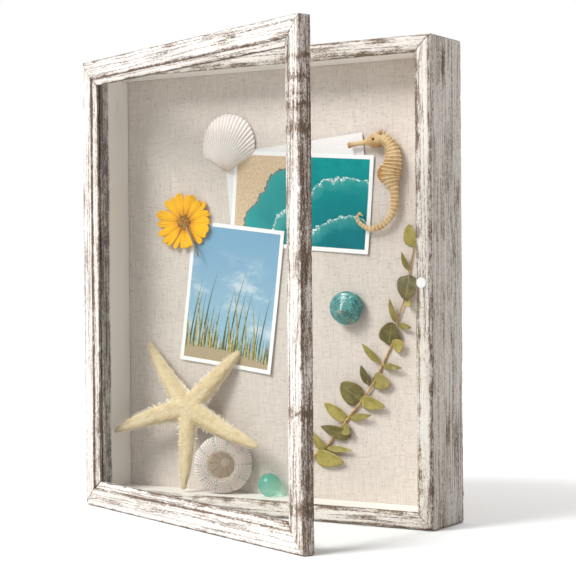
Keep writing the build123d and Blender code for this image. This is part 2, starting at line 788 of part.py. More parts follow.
# Eucalyptus sprig: a bent stem with leaves in pairs, lifted off the board
stem_path = [laid_out(across, up, stem_proud) for across, up in stem_places]
stem_line = FilletPolyline(*stem_path, radius=stem_bend)
stem_start = Plane(origin=stem_line @ 0, z_dir=stem_line % 0)
sprig = sweep(stem_start * Circle(stem_radius), path=stem_line)
stem_foot, stem_head = stem_places[0][1], stem_places[-1][1]
for height_share, *leaves in leaf_pairs:
    up = stem_foot + (stem_head - stem_foot) * height_share
    above = min(number for number, point in enumerate(stem_places) if point[1] > up)
    low, high = stem_places[above - 1], stem_places[above]
    share = (up - low[1]) / (high[1] - low[1])
    across = low[0] + (high[0] - low[0]) * share
    for direction, length, width in leaves:
        edge_out = ThreePointArc((0, 0), (length * leaf_widest, width / 2), (length, 0))
        edge_back = ThreePointArc((length, 0), (length * leaf_widest, -width / 2), (0, 0))
        blade = extrude(make_face([edge_out, edge_back]), amount=leaf_blade)
        leaf = Rot(0, 0, direction) * Rot(0, -leaf_lift, 0) * blade
        sprig = sprig + facing(laid_out(across, up, stem_proud)) * leaf
keepsakes["eucalyptus_sprig"] = sprig - behind_linen

for name, solid in keepsakes.items():
    nodes[name] = cut_all(solid, near_tools(solid, cards.values()))
for name, solid in cards.items():
    nodes[name] = solid

for name, solid in nodes.items():
    export_step(solid, "parts/" + name + ".step")
print(len(nodes), "nodes")
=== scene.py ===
# %% [markdown]
# # A shadow box frame with a seaside collection
#
# A deep wooden case with worn white paint stands on its foot, and its glazed door is ajar. Inside, cards,
# shells and dried plants lie on a board covered with linen. The solids come from CAD, and they fix every
# size and place. This lesson dresses them: finishes for what is already right, and new meshes for what
# grew in the sea or on a branch.

# %% Load the solids that fix every place
import bpy
import json
import math
import random
import numpy as np
from mathutils import Matrix, Vector, noise


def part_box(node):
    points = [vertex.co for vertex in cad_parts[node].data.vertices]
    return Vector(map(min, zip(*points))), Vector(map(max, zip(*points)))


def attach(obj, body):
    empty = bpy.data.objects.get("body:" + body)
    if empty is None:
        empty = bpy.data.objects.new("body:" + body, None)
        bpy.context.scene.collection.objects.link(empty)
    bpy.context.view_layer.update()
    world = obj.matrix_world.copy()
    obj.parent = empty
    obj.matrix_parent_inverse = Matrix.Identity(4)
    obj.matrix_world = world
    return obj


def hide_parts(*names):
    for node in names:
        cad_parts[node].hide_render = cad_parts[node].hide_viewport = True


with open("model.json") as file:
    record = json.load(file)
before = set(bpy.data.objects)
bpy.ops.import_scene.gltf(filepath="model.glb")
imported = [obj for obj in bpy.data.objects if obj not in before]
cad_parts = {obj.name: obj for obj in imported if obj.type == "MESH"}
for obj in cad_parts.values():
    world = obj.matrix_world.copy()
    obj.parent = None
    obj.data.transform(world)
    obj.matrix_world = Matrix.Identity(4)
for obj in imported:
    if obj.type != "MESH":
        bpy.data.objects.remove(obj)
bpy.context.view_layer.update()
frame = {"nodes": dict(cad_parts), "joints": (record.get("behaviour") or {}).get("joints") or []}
nodes = frame["nodes"]
MM = 0.001

# %% [markdown]
# ## Camera
#
# The camera stands to the right of the case, a little over a metre away, at about half its height. Its
# place and turn were worked out from the straight edges of the case and the door. A long lens keeps the
# uprights nearly parallel.

# %% Place the camera
camera_place = Vector((0.7206, -1.1460, 0.2025))
camera_yaw, camera_pitch, camera_roll = -0.55089, -0.01105, -0.00800
forward = Vector((
    math.sin(camera_yaw) * math.cos(camera_pitch),
    math.cos(camera_yaw) * math.cos(camera_pitch),
    math.sin(camera_pitch),
))
level = Vector((math.cos(camera_yaw), -math.sin(camera_yaw), 0))
upright = level.cross(forward)
right = level * math.cos(camera_roll) + upright * math.sin(camera_roll)
top = upright * math.cos(camera_roll) - level * math.sin(camera_roll)
turn = Matrix((right, top, -forward)).transposed()
bpy.ops.object.camera_add(location=camera_place, rotation=turn.to_euler())
camera = bpy.context.object
camera.data.lens = 101.04
bpy.context.scene.camera = camera
bpy.context.scene.view_settings.view_transform = "Standard"
print("camera lens in mm:", camera.data.lens)

# %% [markdown]
# ## Shader helpers
#
# A procedural finish is a chain of small nodes. Here a wire stands for what comes out of one node, and a
# formula of wires adds the nodes that work it out, so that each finish below reads from top to bottom
# like a recipe. A colour is written as its red, green and blue.


# %% Define wires and the formulas that add nodes
def put(socket, value):
    """Joins a wire to a socket, or gives the socket a value."""
    if isinstance(value, Wire):
        socket.id_data.links.new(value.socket, socket)
    elif socket.type == "RGBA":
        socket.default_value = (*value, 1.0)
    else:
        socket.default_value = value


def node(tree, kind, inputs=None, **settings):
    """Adds a node, sets its settings and puts a wire or a value into each input."""
    made = tree.nodes.new(kind)
    for name, value in settings.items():
        setattr(made, name, value)
    for name, value in (inputs or {}).items():
        put(made.inputs[name], value)
    return made


class Wire:
    """What comes out of one socket of a node."""

    def __init__(self, socket):
        self.socket = socket

    def then(self, kind, inputs, output=0, **settings):
        """Adds a node to the same tree and gives the wire that comes out of it."""
        return Wire(node(self.socket.id_data, kind, inputs, **settings).outputs[output])

    def math(self, operation, other=0.0):
        """One step of arithmetic."""
        return self.then("ShaderNodeMath", {0: self, 1: other}, operation=operation)

    def __add__(self, other):
        return self.math("ADD", other)

    def __sub__(self, other):
        return self.math("SUBTRACT", other)

    def __rsub__(self, other):
        return self.then("ShaderNodeMath", {0: other, 1: self}, operation="SUBTRACT")

    def __mul__(self, other):
        return self.math("MULTIPLY", other)

    __rmul__ = __mul__

    def __truediv__(self, other):
        return self.math("DIVIDE", other)

    def __pow__(self, other):
        return self.math("POWER", other)

    def __abs__(self):
        return self.math("ABSOLUTE")

    def band(self, low, high, start=0.0, end=1.0):
        """Turns a value between low and high smoothly into one between start and end."""
        inputs = {"Value": self, "From Min": low, "From Max": high, "To Min": start, "To Max": end}
        return self.then("ShaderNodeMapRange", inputs, interpolation_type="SMOOTHSTEP")

    def mix(self, low, high):
        """Goes from one colour to another as the value goes from 0 to 1."""
        return self.then("ShaderNodeMix", {0: self, 6: low, 7: high}, 2, data_type="RGBA")

    def stretched(self, scale, place=(0, 0, 0)):
        """Scales a pattern's coordinates, one factor per axis, and shifts them."""
        return self.then("ShaderNodeMapping", {"Vector": self, "Scale": scale, "Location": place})

    def away_from(self, point):
        """The offset from a point."""
        return self.stretched((1, 1, 1), tuple(-c for c in point))

    def length(self):
        """How long a vector is."""
        return self.then("ShaderNodeVectorMath", {0: self}, "Value", operation="LENGTH")

    def parts(self):
        """A vector's three numbers."""
        split = node(self.socket.id_data, "ShaderNodeSeparateXYZ", {0: self})
        return [Wire(socket) for socket in split.outputs]

    def clouds(self, scale=1.0, detail=3.0, roughness=0.5):
        """Smooth random values round one half."""
        inputs = {"Vector": self, "Scale": scale, "Detail": detail, "Roughness": roughness}
        return self.then("ShaderNodeTexNoise", inputs, "Fac")

    def cells(self, scale=1.0):
        """The distance to the nearest of many scattered points."""
        return self.then("ShaderNodeTexVoronoi", {"Vector": self, "Scale": scale}, "Distance")


# %% Define where a pattern starts and what it ends in
class Ends:
    """A node's outputs as wires, looked up by name."""

    def __init__(self, made):
        self.made = made

    def __getitem__(self, label):
        return Wire(self.made.outputs[label])


def place_on(tree, kind="Object"):
    """The point on the object in metres, or its UV or generated place."""
    return Ends(node(tree, "ShaderNodeTexCoord"))[kind]


def attribute(tree, name, output="Fac"):
    """What the mesh says at each point under a name."""
    return Ends(node(tree, "ShaderNodeAttribute", attribute_name=name))[output]


def light_path(tree):
    """What kind of ray sees the surface."""
    return Ends(node(tree, "ShaderNodeLightPath"))


def new_group(name, inputs, outputs):
    """An empty node group: its tree, the ends of its input node, and its output node."""
    tree = bpy.data.node_groups.new(name, "ShaderNodeTree")
    for label, kind, value in inputs:
        socket = tree.interface.new_socket(label, in_out="INPUT", socket_type="NodeSocket" + kind)
        if kind == "Color":
            socket.default_value = (*value, 1.0)
        elif kind == "Float":
            socket.default_value = value
    for label, kind in outputs:
        tree.interface.new_socket(label, in_out="OUTPUT", socket_type="NodeSocket" + kind)
    return tree, Ends(tree.nodes.new("NodeGroupInput")), tree.nodes.new("NodeGroupOutput").inputs


def grouped(tree, group, inputs):
    """Adds a group to a material and gives its ends."""
    return Ends(node(tree, "ShaderNodeGroup", inputs, node_tree=group))


def new_material(name, **shader_values):
    """A material with one Principled shader, and its uniform values set on the shader's own sockets."""
    made = bpy.data.materials.new(name)
    made.use_nodes = True
    shader = made.node_tree.nodes["Principled BSDF"]
    for label, value in shader_values.items():
        put(shader.inputs[label.replace("_", " ")], value)
    return made, made.node_tree, shader


def feed(shader, tone, roughness=None, height=None, distance=0.0002, strength=0.6):
    """Joins a finish's colour, roughness and height to a shader."""
    put(shader.inputs["Base Color"], tone)
    if roughness:
        put(shader.inputs["Roughness"], roughness)
    if height:
        bump = {"Height": height, "Distance": distance, "Strength": strength}
        put(shader.inputs["Normal"], height.then("ShaderNodeBump", bump, "Normal"))


def share_surface(share, shader, other):
    """Shows a share of a second shader in place of the first."""
    tree = shader.id_data
    shares = {0: share, 1: Wire(shader.outputs[0]), 2: Wire(other.outputs[0])}
    both = node(tree, "ShaderNodeMixShader", shares)
    put(tree.nodes["Material Output"].inputs["Surface"], Wire(both.outputs[0]))


print("node helpers ready")

# %% [markdown]
# ## Mesh helpers
#
# Operators act on all that is selected, so each piece starts from an empty selection. Shells, leaves and
# arms are one flat grid each that is pulled into shape point by point, because their surfaces follow a
# rule of growth that is easier to write down than to push about by hand. Where a material needs to know
# its place on a rib, a ring or an arm, each point carries that as a number.


# %% Define the helpers that make and place meshes
def only(piece):
    """Selects one object and makes it active."""
    bpy.ops.object.select_all(action="DESELECT")
    piece.select_set(True)
    bpy.context.view_layer.objects.active = piece


def added(operator, **settings):
    """Starts from an empty selection, adds an object and returns it."""
    bpy.ops.object.select_all(action="DESELECT")
    operator(**settings)
    return bpy.context.object


def applied(piece):
    """Moves a piece's place, turn and scale into its mesh."""
    only(piece)
    bpy.ops.object.transform_apply(location=True, rotation=True, scale=True)


def pulled_grid(name, columns, rows, place, merge=0.0):
    """A flat grid whose points go where place(u, v) says, with u and v from 0 to 1."""
    piece = added(bpy.ops.mesh.primitive_grid_add, x_subdivisions=columns, y_subdivisions=rows, size=1)
    piece.name = name
    for vertex in piece.data.vertices:
        vertex.co = place(vertex.co.x + 0.5, vertex.co.y + 0.5)
    if merge:
        edit_all(piece, lambda: bpy.ops.mesh.remove_doubles(threshold=merge))
    return piece


def edit_all(piece, *steps):
    """Runs edit-mode steps on the whole mesh."""
    only(piece)
    bpy.ops.object.mode_set(mode="EDIT")
    bpy.ops.mesh.select_all(action="SELECT")
    for step in steps:
        step()
    bpy.ops.object.mode_set(mode="OBJECT")


def modified(piece, kind, **settings):
    """Adds a modifier and applies it."""
    only(piece)
    modifier = piece.modifiers.new(kind.title(), kind)
    for name, value in settings.items():
        setattr(modifier, name, value)
    bpy.ops.object.modifier_apply(modifier=modifier.name)


def outward():
    """Turns all faces outwards."""
    bpy.ops.mesh.normals_make_consistent(inside=False)


def closed():
    """Fills every open rim."""
    bpy.ops.mesh.fill_holes(sides=0)


def mark(piece, name, values):
    """Gives each point of a mesh a number or a vector that its material reads by name."""
    values = np.array(values, dtype=np.float32)
    kind, field = ("FLOAT", "value") if values.ndim == 1 else ("FLOAT_VECTOR", "vector")
    piece.data.attributes.new(name, kind, "POINT").data.foreach_set(field, values.ravel())


def joined(name, pieces):
    """Joins pieces into one object."""
    bpy.ops.object.select_all(action="DESELECT")
    for piece in pieces:
        piece.select_set(True)
    bpy.context.view_layer.objects.active = pieces[0]
    bpy.ops.object.join()
    pieces[0].name = name
    return pieces[0]


def repeated(name, source, places):
    """One mesh that holds a copy of the source for each 4 x 4 matrix in places."""
    points = np.array([vertex.co for vertex in source.data.vertices])
    faces = [tuple(face.vertices) for face in source.data.polygons]
    all_points = []
    all_faces = []
    for index, matrix in enumerate(places):
        turned = np.array(matrix)
        all_points.append(points @ turned[:3, :3].T + turned[:3, 3])
        start = index * len(points)
        all_faces.extend(tuple(start + corner for corner in face) for face in faces)
    mesh = bpy.data.meshes.new(name)
    mesh.from_pydata(np.concatenate(all_points).tolist(), [], all_faces)
    bpy.data.objects.remove(source)
    piece = bpy.data.objects.new(name, mesh)
    bpy.context.scene.collection.objects.link(piece)
    return piece


def stood(spot, lean, size):
    """The matrix that stands a spike of a size on a spot, leaning one way."""
    turned = lean.normalized().to_track_quat("Z", "Y").to_matrix().to_4x4()
    return Matrix.Translation(spot) @ turned @ Matrix.Scale(size, 4)


def settle(piece, name, material, replaced=(), angle=None, body="case"):
    """Gives a finished piece its name, finish and body, with its place in its mesh."""
    applied(piece)
    if angle is None:
        bpy.ops.object.shade_smooth()
    else:
        bpy.ops.object.shade_smooth_by_angle(angle=math.radians(angle))
    piece.name = name
    piece.data.materials.clear()
    piece.data.materials.append(material)
    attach(piece, body)
    if replaced:
        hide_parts(*replaced)
    print(name, "has", len(piece.data.polygons), "faces")


def dress(material, *names, bevel=None):
    """Gives CAD nodes a finish, and where asked softens their edges with live modifiers."""
    for name in names:
        nodes[name].data.materials.clear()
        nodes[name].data.materials.append(material)
        if bevel:
            weld = nodes[name].modifiers.new("Weld", "WELD")
            weld.merge_threshold = 1e-6
            soften = nodes[name].modifiers.new("Bevel", "BEVEL")
            soften.width = bevel
            soften.segments = 2
            soften.limit_method = "ANGLE"
            soften.angle_limit = math.radians(40)


print("mesh helpers ready")

# %% [markdown]
# ## Measures from the solids
#
# The board's lower left corner and the linen's face come from the solids' boxes. The door was drawn shut
# and then swung on its hinges, so its boards need their shut places back to lay the grain along them.

# %% Read the case, the board and the door's swing
wall = 14 * MM
case_low, case_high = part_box("case_left")
case_right_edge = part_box("case_right")[1].x
case_front, case_rear = case_low.y, case_high.y
case_top_edge = case_high.z
case_half = (case_right_edge - case_low.x) / 2
linen_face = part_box("linen_cover")[0].y
board_left = case_low.x + wall
floor_top = case_low.z + wall
hinge = Vector(frame["joints"][0]["pos_m"])
door_rest = math.radians(23.5)
door_swing = Matrix.Translation(hinge) @ Matrix.Rotation(-door_rest, 4, "Z") @ Matrix.Translation(-hinge)
door_gap = 1.0 * MM
door_thick = 10.8 * MM
door_back = case_front - door_gap
door_front = door_back - door_thick


def on_board(across, up, proud=0.0):
    """A point in metres from the linen's lower left corner, all in millimetres."""
    return Vector((board_left + across * MM, linen_face - proud * MM, floor_top + up * MM))


print("linen face at y", round(linen_face, 4), "hinge at", tuple(round(c, 4) for c in hinge))

# %% [markdown]
# ## Worn whitewash
#
# The real boards are rough pine under thin white paint that was rubbed back. Paint stays on the soft
# wood and leaves the hard lines of the grain, the knots and the handled edges bare. An image could show
# this, but only at one size, so the finish is layered noise: long streaks along the grain, small flakes
# that gather in patches, and a mask that follows the edges, keeps the sheltered inside clean and paints
# it lighter, which is painted light on the inner walls. Each board carries its own grain coordinates, in
# millimetres along, across and through it.

# %% Build the whitewash group
whitewash, ends, result = new_group(
    "Worn whitewash",
    [
        ("Grain", "Vector", None), ("Edge", "Float", 0.0), ("Bareness", "Float", 0.0),
        ("Paint", "Color", (0.86, 0.85, 0.83)), ("Wood", "Color", (0.36, 0.25, 0.17)),
        ("Dark", "Color", (0.1, 0.065, 0.045)),
    ],
    [("Color", "Color"), ("Roughness", "Float"), ("Height", "Float")],
)
grain = ends["Grain"]
waver = grain.stretched((0.02, 0.05, 0.05), (9, 2, 6)).clouds(detail=2)
waver = (waver - 0.5) * 3.0
shift = waver.then("ShaderNodeCombineXYZ", {0: 0.0, 1: waver, 2: waver})
grain = grain.then("ShaderNodeVectorMath", {0: grain, 1: shift}, operation="ADD")
patches = grain.stretched((0.02, 0.06, 0.06)).clouds(detail=3, roughness=0.6)
streaks = grain.stretched((0.055, 1.0, 1.0)).clouds(detail=5, roughness=0.66)
dashes = grain.stretched((0.26, 2.2, 2.2), (7, 3, 1)).clouds(detail=4, roughness=0.68)
flakes = grain.stretched((0.7, 1.3, 1.3), (2, 9, 4)).clouds(detail=5, roughness=0.75)
rings = grain.stretched((0.006, 0.27, 0.27), (4, 4, 9)).clouds(detail=2, roughness=0.4)
from_ring = abs(rings - 0.5)
specks = grain.stretched((0.42, 0.75, 0.75), (1, 7, 3)).cells()
knots = grain.stretched((0.013, 0.05, 0.05), (3, 5, 2)).cells()
lack = ends["Bareness"]
for layer, weight in (
    (streaks, 0.34), (dashes, 0.50), (flakes, 0.53), (patches, 0.23), (ends["Edge"], 0.13),
    (knots.band(0.28, 0.05), 0.11), (from_ring.band(0.10, 0.02), 0.06),
):
    lack = lack + layer * weight
stain = lack.band(0.78, 0.9)
bare = lack.band(0.88, 0.92)
deep = lack.band(0.92, 0.99)
crack = from_ring.band(0.04, 0.01) * dashes.band(0.44, 0.54)
dots = specks.band(0.24, 0.15) * patches.band(0.42, 0.52)
marks = (crack * 0.8).math("MAXIMUM", dots * 0.75)
# Inside faces lose their marks and are painted lighter: painted light on the inner walls, on top of clean
# paint.
clean_and_lit_inside = ends["Edge"].band(-0.3, -0.75)
marks = marks * (1.0 - clean_and_lit_inside)
wood_tone = dashes.band(0.35, 0.62).mix(ends["Dark"], ends["Wood"])
wood_tone = deep.mix(wood_tone, ends["Dark"])
wash = (stain * 0.4).mix(ends["Paint"], ends["Wood"])
finish = (bare * 0.9).mix(wash, wood_tone)
finish = marks.mix(finish, ends["Dark"])
finish = (clean_and_lit_inside * 0.6).mix(finish, (0.96, 0.92, 0.87))
put(result["Color"], finish)
put(result["Roughness"], bare.band(0, 1, 0.6, 0.85))
relief = (1.0 - bare.math("MAXIMUM", marks)) * 0.7
put(result["Height"], relief - stain * 0.3)


def whitewashed(name, grain_from, bareness, paint, wood, dark, worn=False):
    """Whitewash with its own amount of bare wood and its own colours, on a worn mesh or a plain one."""
    material, tree, shader = new_material(name, Specular_IOR_Level=0.3)
    inputs = {"Grain": grain_from(tree), "Bareness": bareness, "Paint": paint, "Wood": wood, "Dark": dark}
    if worn:
        inputs["Edge"] = attribute(tree, "edge")
    layer = grouped(tree, whitewash, inputs)
    feed(shader, layer["Color"], layer["Roughness"], layer["Height"], 0.0004)
    return material


def grain_attribute(tree):
    """The grain coordinates that each board carries."""
    return attribute(tree, "grain", "Vector")


door_paint = whitewashed("Leaf whitewash", grain_attribute, -0.012,
                         (0.90, 0.865, 0.83), (0.40, 0.265, 0.17), (0.11, 0.068, 0.044), worn=True)
case_paint = whitewashed("Box whitewash", grain_attribute, -0.008,
                         (0.84, 0.79, 0.735), (0.38, 0.27, 0.18), (0.11, 0.073, 0.05), worn=True)
print("whitewash finishes:", door_paint.name, case_paint.name)

# %% [markdown]
# ## Case and door boards
#
# Each board starts as a copy of its CAD solid. A voxel remesh turns the loose triangles into an even
# skin with slightly rounded edges, and then the skin is pressed in where the wood wore: most at the
# edges, in long furrows along the grain, and in a few dents. Nothing is pushed outwards, so the boards
# keep their sizes and the door still swings free.


# %% Define how a board is worn
def worn_board(name, material, body, side, section, voxel, seed):
    """A worn copy of a CAD board; section tells where its corners are and how bare its faces are."""
    mesh = nodes[name].data.copy()
    board = bpy.data.objects.new(name + "_worn", mesh)
    bpy.context.scene.collection.objects.link(board)
    edit_all(board, lambda: bpy.ops.mesh.remove_doubles(threshold=1e-6))
    modified(board, "REMESH", mode="VOXEL", voxel_size=voxel, adaptivity=0)
    count = len(board.data.vertices)
    points, normals = np.empty((count, 3)), np.empty((count, 3))
    board.data.vertices.foreach_get("co", points.ravel())
    board.data.vertices.foreach_get("normal", normals.ravel())
    shut = points
    shut_normals = normals
    if body == "door":
        back = np.array(door_swing.inverted())
        shut = points @ back[:3, :3].T + back[:3, 3]
        shut_normals = normals @ back[:3, :3].T
    upright_board = side in ("left", "right")
    along = shut[:, 2] - case_top_edge / 2 if upright_board else shut[:, 0]
    span = case_top_edge if upright_board else 2 * case_half
    inward = outer_faces[side](shut)
    inner_facing = outer_facings[side](shut_normals)
    nearest = np.min([np.hypot(shut[:, 1] - y, inward - deep) for y, deep in section["corners"]], axis=0)
    edge = np.exp(-((nearest / (1.6 * MM)) ** 2))
    seam = np.exp(-np.maximum(0.0, span / 2 - np.abs(along) - inward) / (0.4 * MM))
    grains = np.stack([along / MM + seed * 700, inward / MM, shut[:, 1] / MM], axis=1)
    chips = np.zeros(count)
    furrow = np.zeros(count)
    for index in range(count):
        a, b, c = grains[index]
        furrow[index] = noise.noise((a * 0.035, b * 0.8, c * 0.8))
        if edge[index] > 0.03:
            chips[index] = noise.noise((a * 0.11, b * 0.2, c * 0.2))
            chips[index] += 0.4 * noise.noise((a * 0.4, b * 0.5, c * 0.5))
    press = 0.14 * np.maximum(0.0, furrow) + edge * (0.12 + 0.75 * np.maximum(0.0, chips))
    points = points - normals * (press * MM)[:, None]
    board.data.vertices.foreach_set("co", points.ravel())
    worn = edge * (0.45 + 1.1 * chips) + 0.45 * seam + section["bare"](shut, inward, inner_facing)
    worn += board_bareness.get(name, 0.0)
    for knot_at, knot_half in board_knots.get(name, ()):
        for index in np.flatnonzero(np.abs(along / MM - knot_at) < 2.5 * knot_half):
            a, b, c = grains[index]
            ragged = 1.5 * (along[index] / MM - knot_at) + 5.0 * noise.noise((a * 0.12, b * 0.16, c * 0.16))
            blot = 0.6 + noise.noise((a * 0.3, b * 0.35, c * 0.35))
            worn[index] += 1.1 * math.exp(-((ragged / knot_half) ** 2)) * blot
    mark(board, "grain", grains)
    mark(board, "edge", worn)
    settle(board, name + "_worn", material, (name,), body=body)


print("board helper ready")

# %% Say where the case and door boards are worn most
door_face = 15.6 * MM
door_sight = 21.6 * MM
inner_lip = 3.3 * MM
board_knots = {
    "door_right_stile": (
        (162.0, 3.0), (147.0, 4.0), (136.0, 1.5), (128.0, 5.0), (110.0, 7.0), (-92.0, 6.0), (-160.0, 6.0),
    ),
}
board_bareness = {"door_right_stile": 0.16, "door_left_stile": -0.10, "door_top_rail": -0.08}
outer_faces = {
    "bottom": lambda shut: shut[:, 2],
    "top": lambda shut: case_top_edge - shut[:, 2],
    "left": lambda shut: shut[:, 0] + case_half,
    "right": lambda shut: case_half - shut[:, 0],
}
outer_facings = {
    "bottom": lambda normals: normals[:, 2],
    "top": lambda normals: -normals[:, 2],
    "left": lambda normals: normals[:, 0],
    "right": lambda normals: -normals[:, 0],
}


def case_bareness(shut, inward, inner_facing):
    """The front's inner lip and outer arris are barer, the outer faces a little, and the inside least."""
    lip = (inward > wall - inner_lip) & (shut[:, 1] < case_front + 1.6 * MM)
    inside = (inner_facing > 0.7) & (shut[:, 1] > case_front + 2.5 * MM)
    arris = (inward < 2.4 * MM) & (shut[:, 1] < case_front + 2.4 * MM)
    outer = inner_facing < -0.7
    # The inside's low value also makes the whitewash paint it lighter, as painted light.
    return 0.4 * lip - 0.8 * inside + 0.3 * arris + 0.05 * outer


def door_bareness(shut, inward, inner_facing):
    """The door's inner edge, which hands and dirt reach, is barest, and the front of its rim is next."""
    sight = (inner_facing > 0.6) & (inward > door_face - 1 * MM)
    outer = (inner_facing < -0.7) & (inward < 2 * MM)
    return 1.0 * sight + 0.6 * outer


case_section = {
    "corners": [(case_front + 0.5 * MM, 0.5 * MM), (case_front, wall - inner_lip),
                (case_front + 1.0 * MM, wall), (case_rear, 0.0), (case_rear, 9 * MM)],
    "bare": case_bareness,
}
door_section = {
    "corners": [(door_front + 0.2 * MM, 0.2 * MM), (door_front, door_face),
                (door_front + 3.0 * MM, door_sight), (door_back, 0.0), (door_back, door_face)],
    "bare": door_bareness,
}

# %% Wear the four case boards and the four door boards
door_names = {"bottom": "bottom_rail", "top": "top_rail", "left": "left_stile", "right": "right_stile"}
coarse = 1.0
case_voxel = 1.1 * MM * coarse
door_voxel = 0.9 * MM * coarse
for seed, (side, door_name) in enumerate(door_names.items(), 1):
    worn_board("case_" + side, case_paint, "case", side, case_section, case_voxel, seed)
    worn_board("door_" + door_name, door_paint, "door", side, door_section, door_voxel,
               seed + len(door_names))

# %% [markdown]
# ## Glass and its stops
#
# The pane is plain float glass. A glass shader alone would darken all that is behind it, because light
# that passes through glass is hard to trace, so for shadows the pane counts as clear. The slim stops
# behind it are painted like the rest but are too thin to need a worn mesh.

# %% Finish the pane and the stops
pane, tree, shader = new_material(
    "Float glass", Transmission_Weight=1.0, Roughness=0.0, IOR=1.16, Base_Color=(0.985, 0.99, 0.985),
)
smears = place_on(tree).stretched((14, 14, 5)).clouds(detail=4)
put(shader.inputs["Roughness"], smears.band(0.35, 0.75, 0.0, 0.03))
clear = node(tree, "ShaderNodeBsdfTransparent", {"Color": (0.95, 0.96, 0.95)})
rays = light_path(tree)
share_surface(rays["Is Shadow Ray"].math("MAXIMUM", rays["Is Diffuse Ray"]), shader, clear)
dress(pane, "door_glass")


def lying_grain(tree):
    """Grain coordinates in mm for a lying piece that carries none."""
    return place_on(tree).stretched((1000, 1000, 1000))


def upright_grain(tree):
    """Grain coordinates in mm for an upright piece that carries none."""
    across, through, along = lying_grain(tree).parts()
    return along.then("ShaderNodeCombineXYZ", {0: along, 1: across, 2: through})


stop_tones = ((0.84, 0.795, 0.75), (0.33, 0.245, 0.18), (0.075, 0.054, 0.042))
lying_stop = whitewashed("Lying stop whitewash", lying_grain, 0.0, *stop_tones)
upright_stop = whitewashed("Upright stop whitewash", upright_grain, 0.10, *stop_tones)
dress(lying_stop, "glass_stop_top", "glass_stop_bottom", bevel=0.3 * MM)
dress(upright_stop, "glass_stop_left", "glass_stop_right", bevel=0.3 * MM)
print("pane and stops finished")

# %% [markdown]
# ## Steel, felt, board and plastic
#
# The small parts keep their CAD shapes, because turned and stamped pieces are what CAD does best. A live
# bevel catches the light on their edges. Brushed steel is noise stretched along one axis, and the fibre
# board, hardboard and felt are fine noise over slow noise, each at its own scale.


# %% Finish the hardware and the back
def brushed(name, base, scale, low=0.22, high=0.4):
    """Metal with fine lines along one axis."""
    material, tree, shader = new_material(name, Metallic=1.0)
    lines = place_on(tree).stretched(scale).clouds(detail=4, roughness=0.6)
    stains = place_on(tree).clouds(180, detail=4)
    tone = stains.band(0.5, 0.75, 0.0, 0.5).mix(base, (0.34, 0.31, 0.27))
    feed(shader, tone, lines.band(0.3, 0.7, low, high), lines, 4e-05)
    return material


def fibrous(name, light, dark, scale):
    """Pressed fibres: fine speckle over a slow change of tone."""
    material, tree, shader = new_material(name, Roughness=0.9, Specular_IOR_Level=0.2)
    speckle = place_on(tree).clouds(scale, detail=5, roughness=0.7)
    slow = place_on(tree).clouds(scale / 40, detail=2)
    amount = speckle * 0.7 + slow * 0.3
    tone = amount.band(0.35, 0.65).mix(dark, light)
    feed(shader, tone, None, speckle)
    return material


plated = brushed("Plated steel", (0.74, 0.73, 0.71), (400, 4000, 4000))
fastener_steel = brushed("Fastener steel", (0.60, 0.60, 0.60), (3000, 3000, 600), 0.28, 0.5)
dress(plated, "hinge_upper_case_leaf", "hinge_lower_case_leaf", "hinge_upper_door_leaf",
      "hinge_lower_door_leaf", "hanger_plate", bevel=0.12 * MM)
dress(plated, "hinge_upper_pin", "hinge_lower_pin", bevel=0.2 * MM)
dress(fastener_steel, "hinge_case_screws", "hinge_door_screws", "catch_strike_screw", "hanger_nails",
      "catch_strike", "catch_magnet", "case_corner_nails", "door_corner_nails", "back_points",
      "glass_stop_brads", bevel=0.08 * MM)
dress(fibrous("Felt", (0.50, 0.47, 0.42), (0.36, 0.33, 0.30), 2600), "wall_bumpers", bevel=0.3 * MM)
dress(fibrous("Hardboard", (0.40, 0.27, 0.17), (0.28, 0.18, 0.11), 900), "back_panel", bevel=0.2 * MM)
dress(fibrous("Fibre board", (0.66, 0.57, 0.44), (0.52, 0.43, 0.32), 700), "pin_board")

catch_white, tree, shader = new_material("Catch plastic", Roughness=0.3, Coat_Weight=0.2)
marks = place_on(tree).clouds(900, detail=3)
tone = marks.band(0.4, 0.7).mix((0.93, 0.93, 0.92), (0.86, 0.86, 0.85))
feed(shader, tone, marks.band(0.3, 0.7, 0.25, 0.4), marks, 3e-05)
dress(catch_white, "catch_barrel", bevel=0.35 * MM)
print("hardware and back finished")

# %% [markdown]
# ## Linen cover
#
# The board is covered with natural linen, stretched over the front and folded round to the back. It is
# one thin skin, so it starts as a plane, its rim is extruded back and then inwards for the hem, and
# Solidify gives it its thickness. The weave is two sets of threads with thick and thin places, made of
# noise that is stretched across and along.

# %% Stretch the linen over the board
linen_low, linen_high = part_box("linen_cover")
linen_hem = 15 * MM
linen_thick = 0.7 * MM
hem_depth = linen_high.y - linen_low.y - linen_thick
linen_middle = (linen_low + linen_high) / 2
linen_width = linen_high.x - linen_low.x
linen_height = linen_high.z - linen_low.z
linen_at = (linen_middle.x, linen_low.y, linen_middle.z)
linen = added(bpy.ops.mesh.primitive_plane_add, size=1, location=linen_at)
linen.rotation_euler = (math.pi / 2, 0, 0)
linen.scale = (linen_width, linen_height, 1)
applied(linen)
bpy.ops.object.mode_set(mode="EDIT")
bpy.ops.mesh.select_all(action="SELECT")
bpy.ops.mesh.extrude_region_move(TRANSFORM_OT_translate={"value": (0, hem_depth, 0)})
hem_scale = (1 - 2 * linen_hem / linen_width, 1, 1 - 2 * linen_hem / linen_height)
hem_middle = (linen_middle.x, linen_low.y + hem_depth, linen_middle.z)
bpy.ops.mesh.extrude_region_move()
bpy.ops.transform.resize(value=hem_scale, center_override=hem_middle)
bpy.ops.mesh.delete(type="FACE")
bpy.ops.mesh.select_all(action="SELECT")
outward()
bpy.ops.object.mode_set(mode="OBJECT")
print("linen faces before the weave:", len(linen.data.polygons))

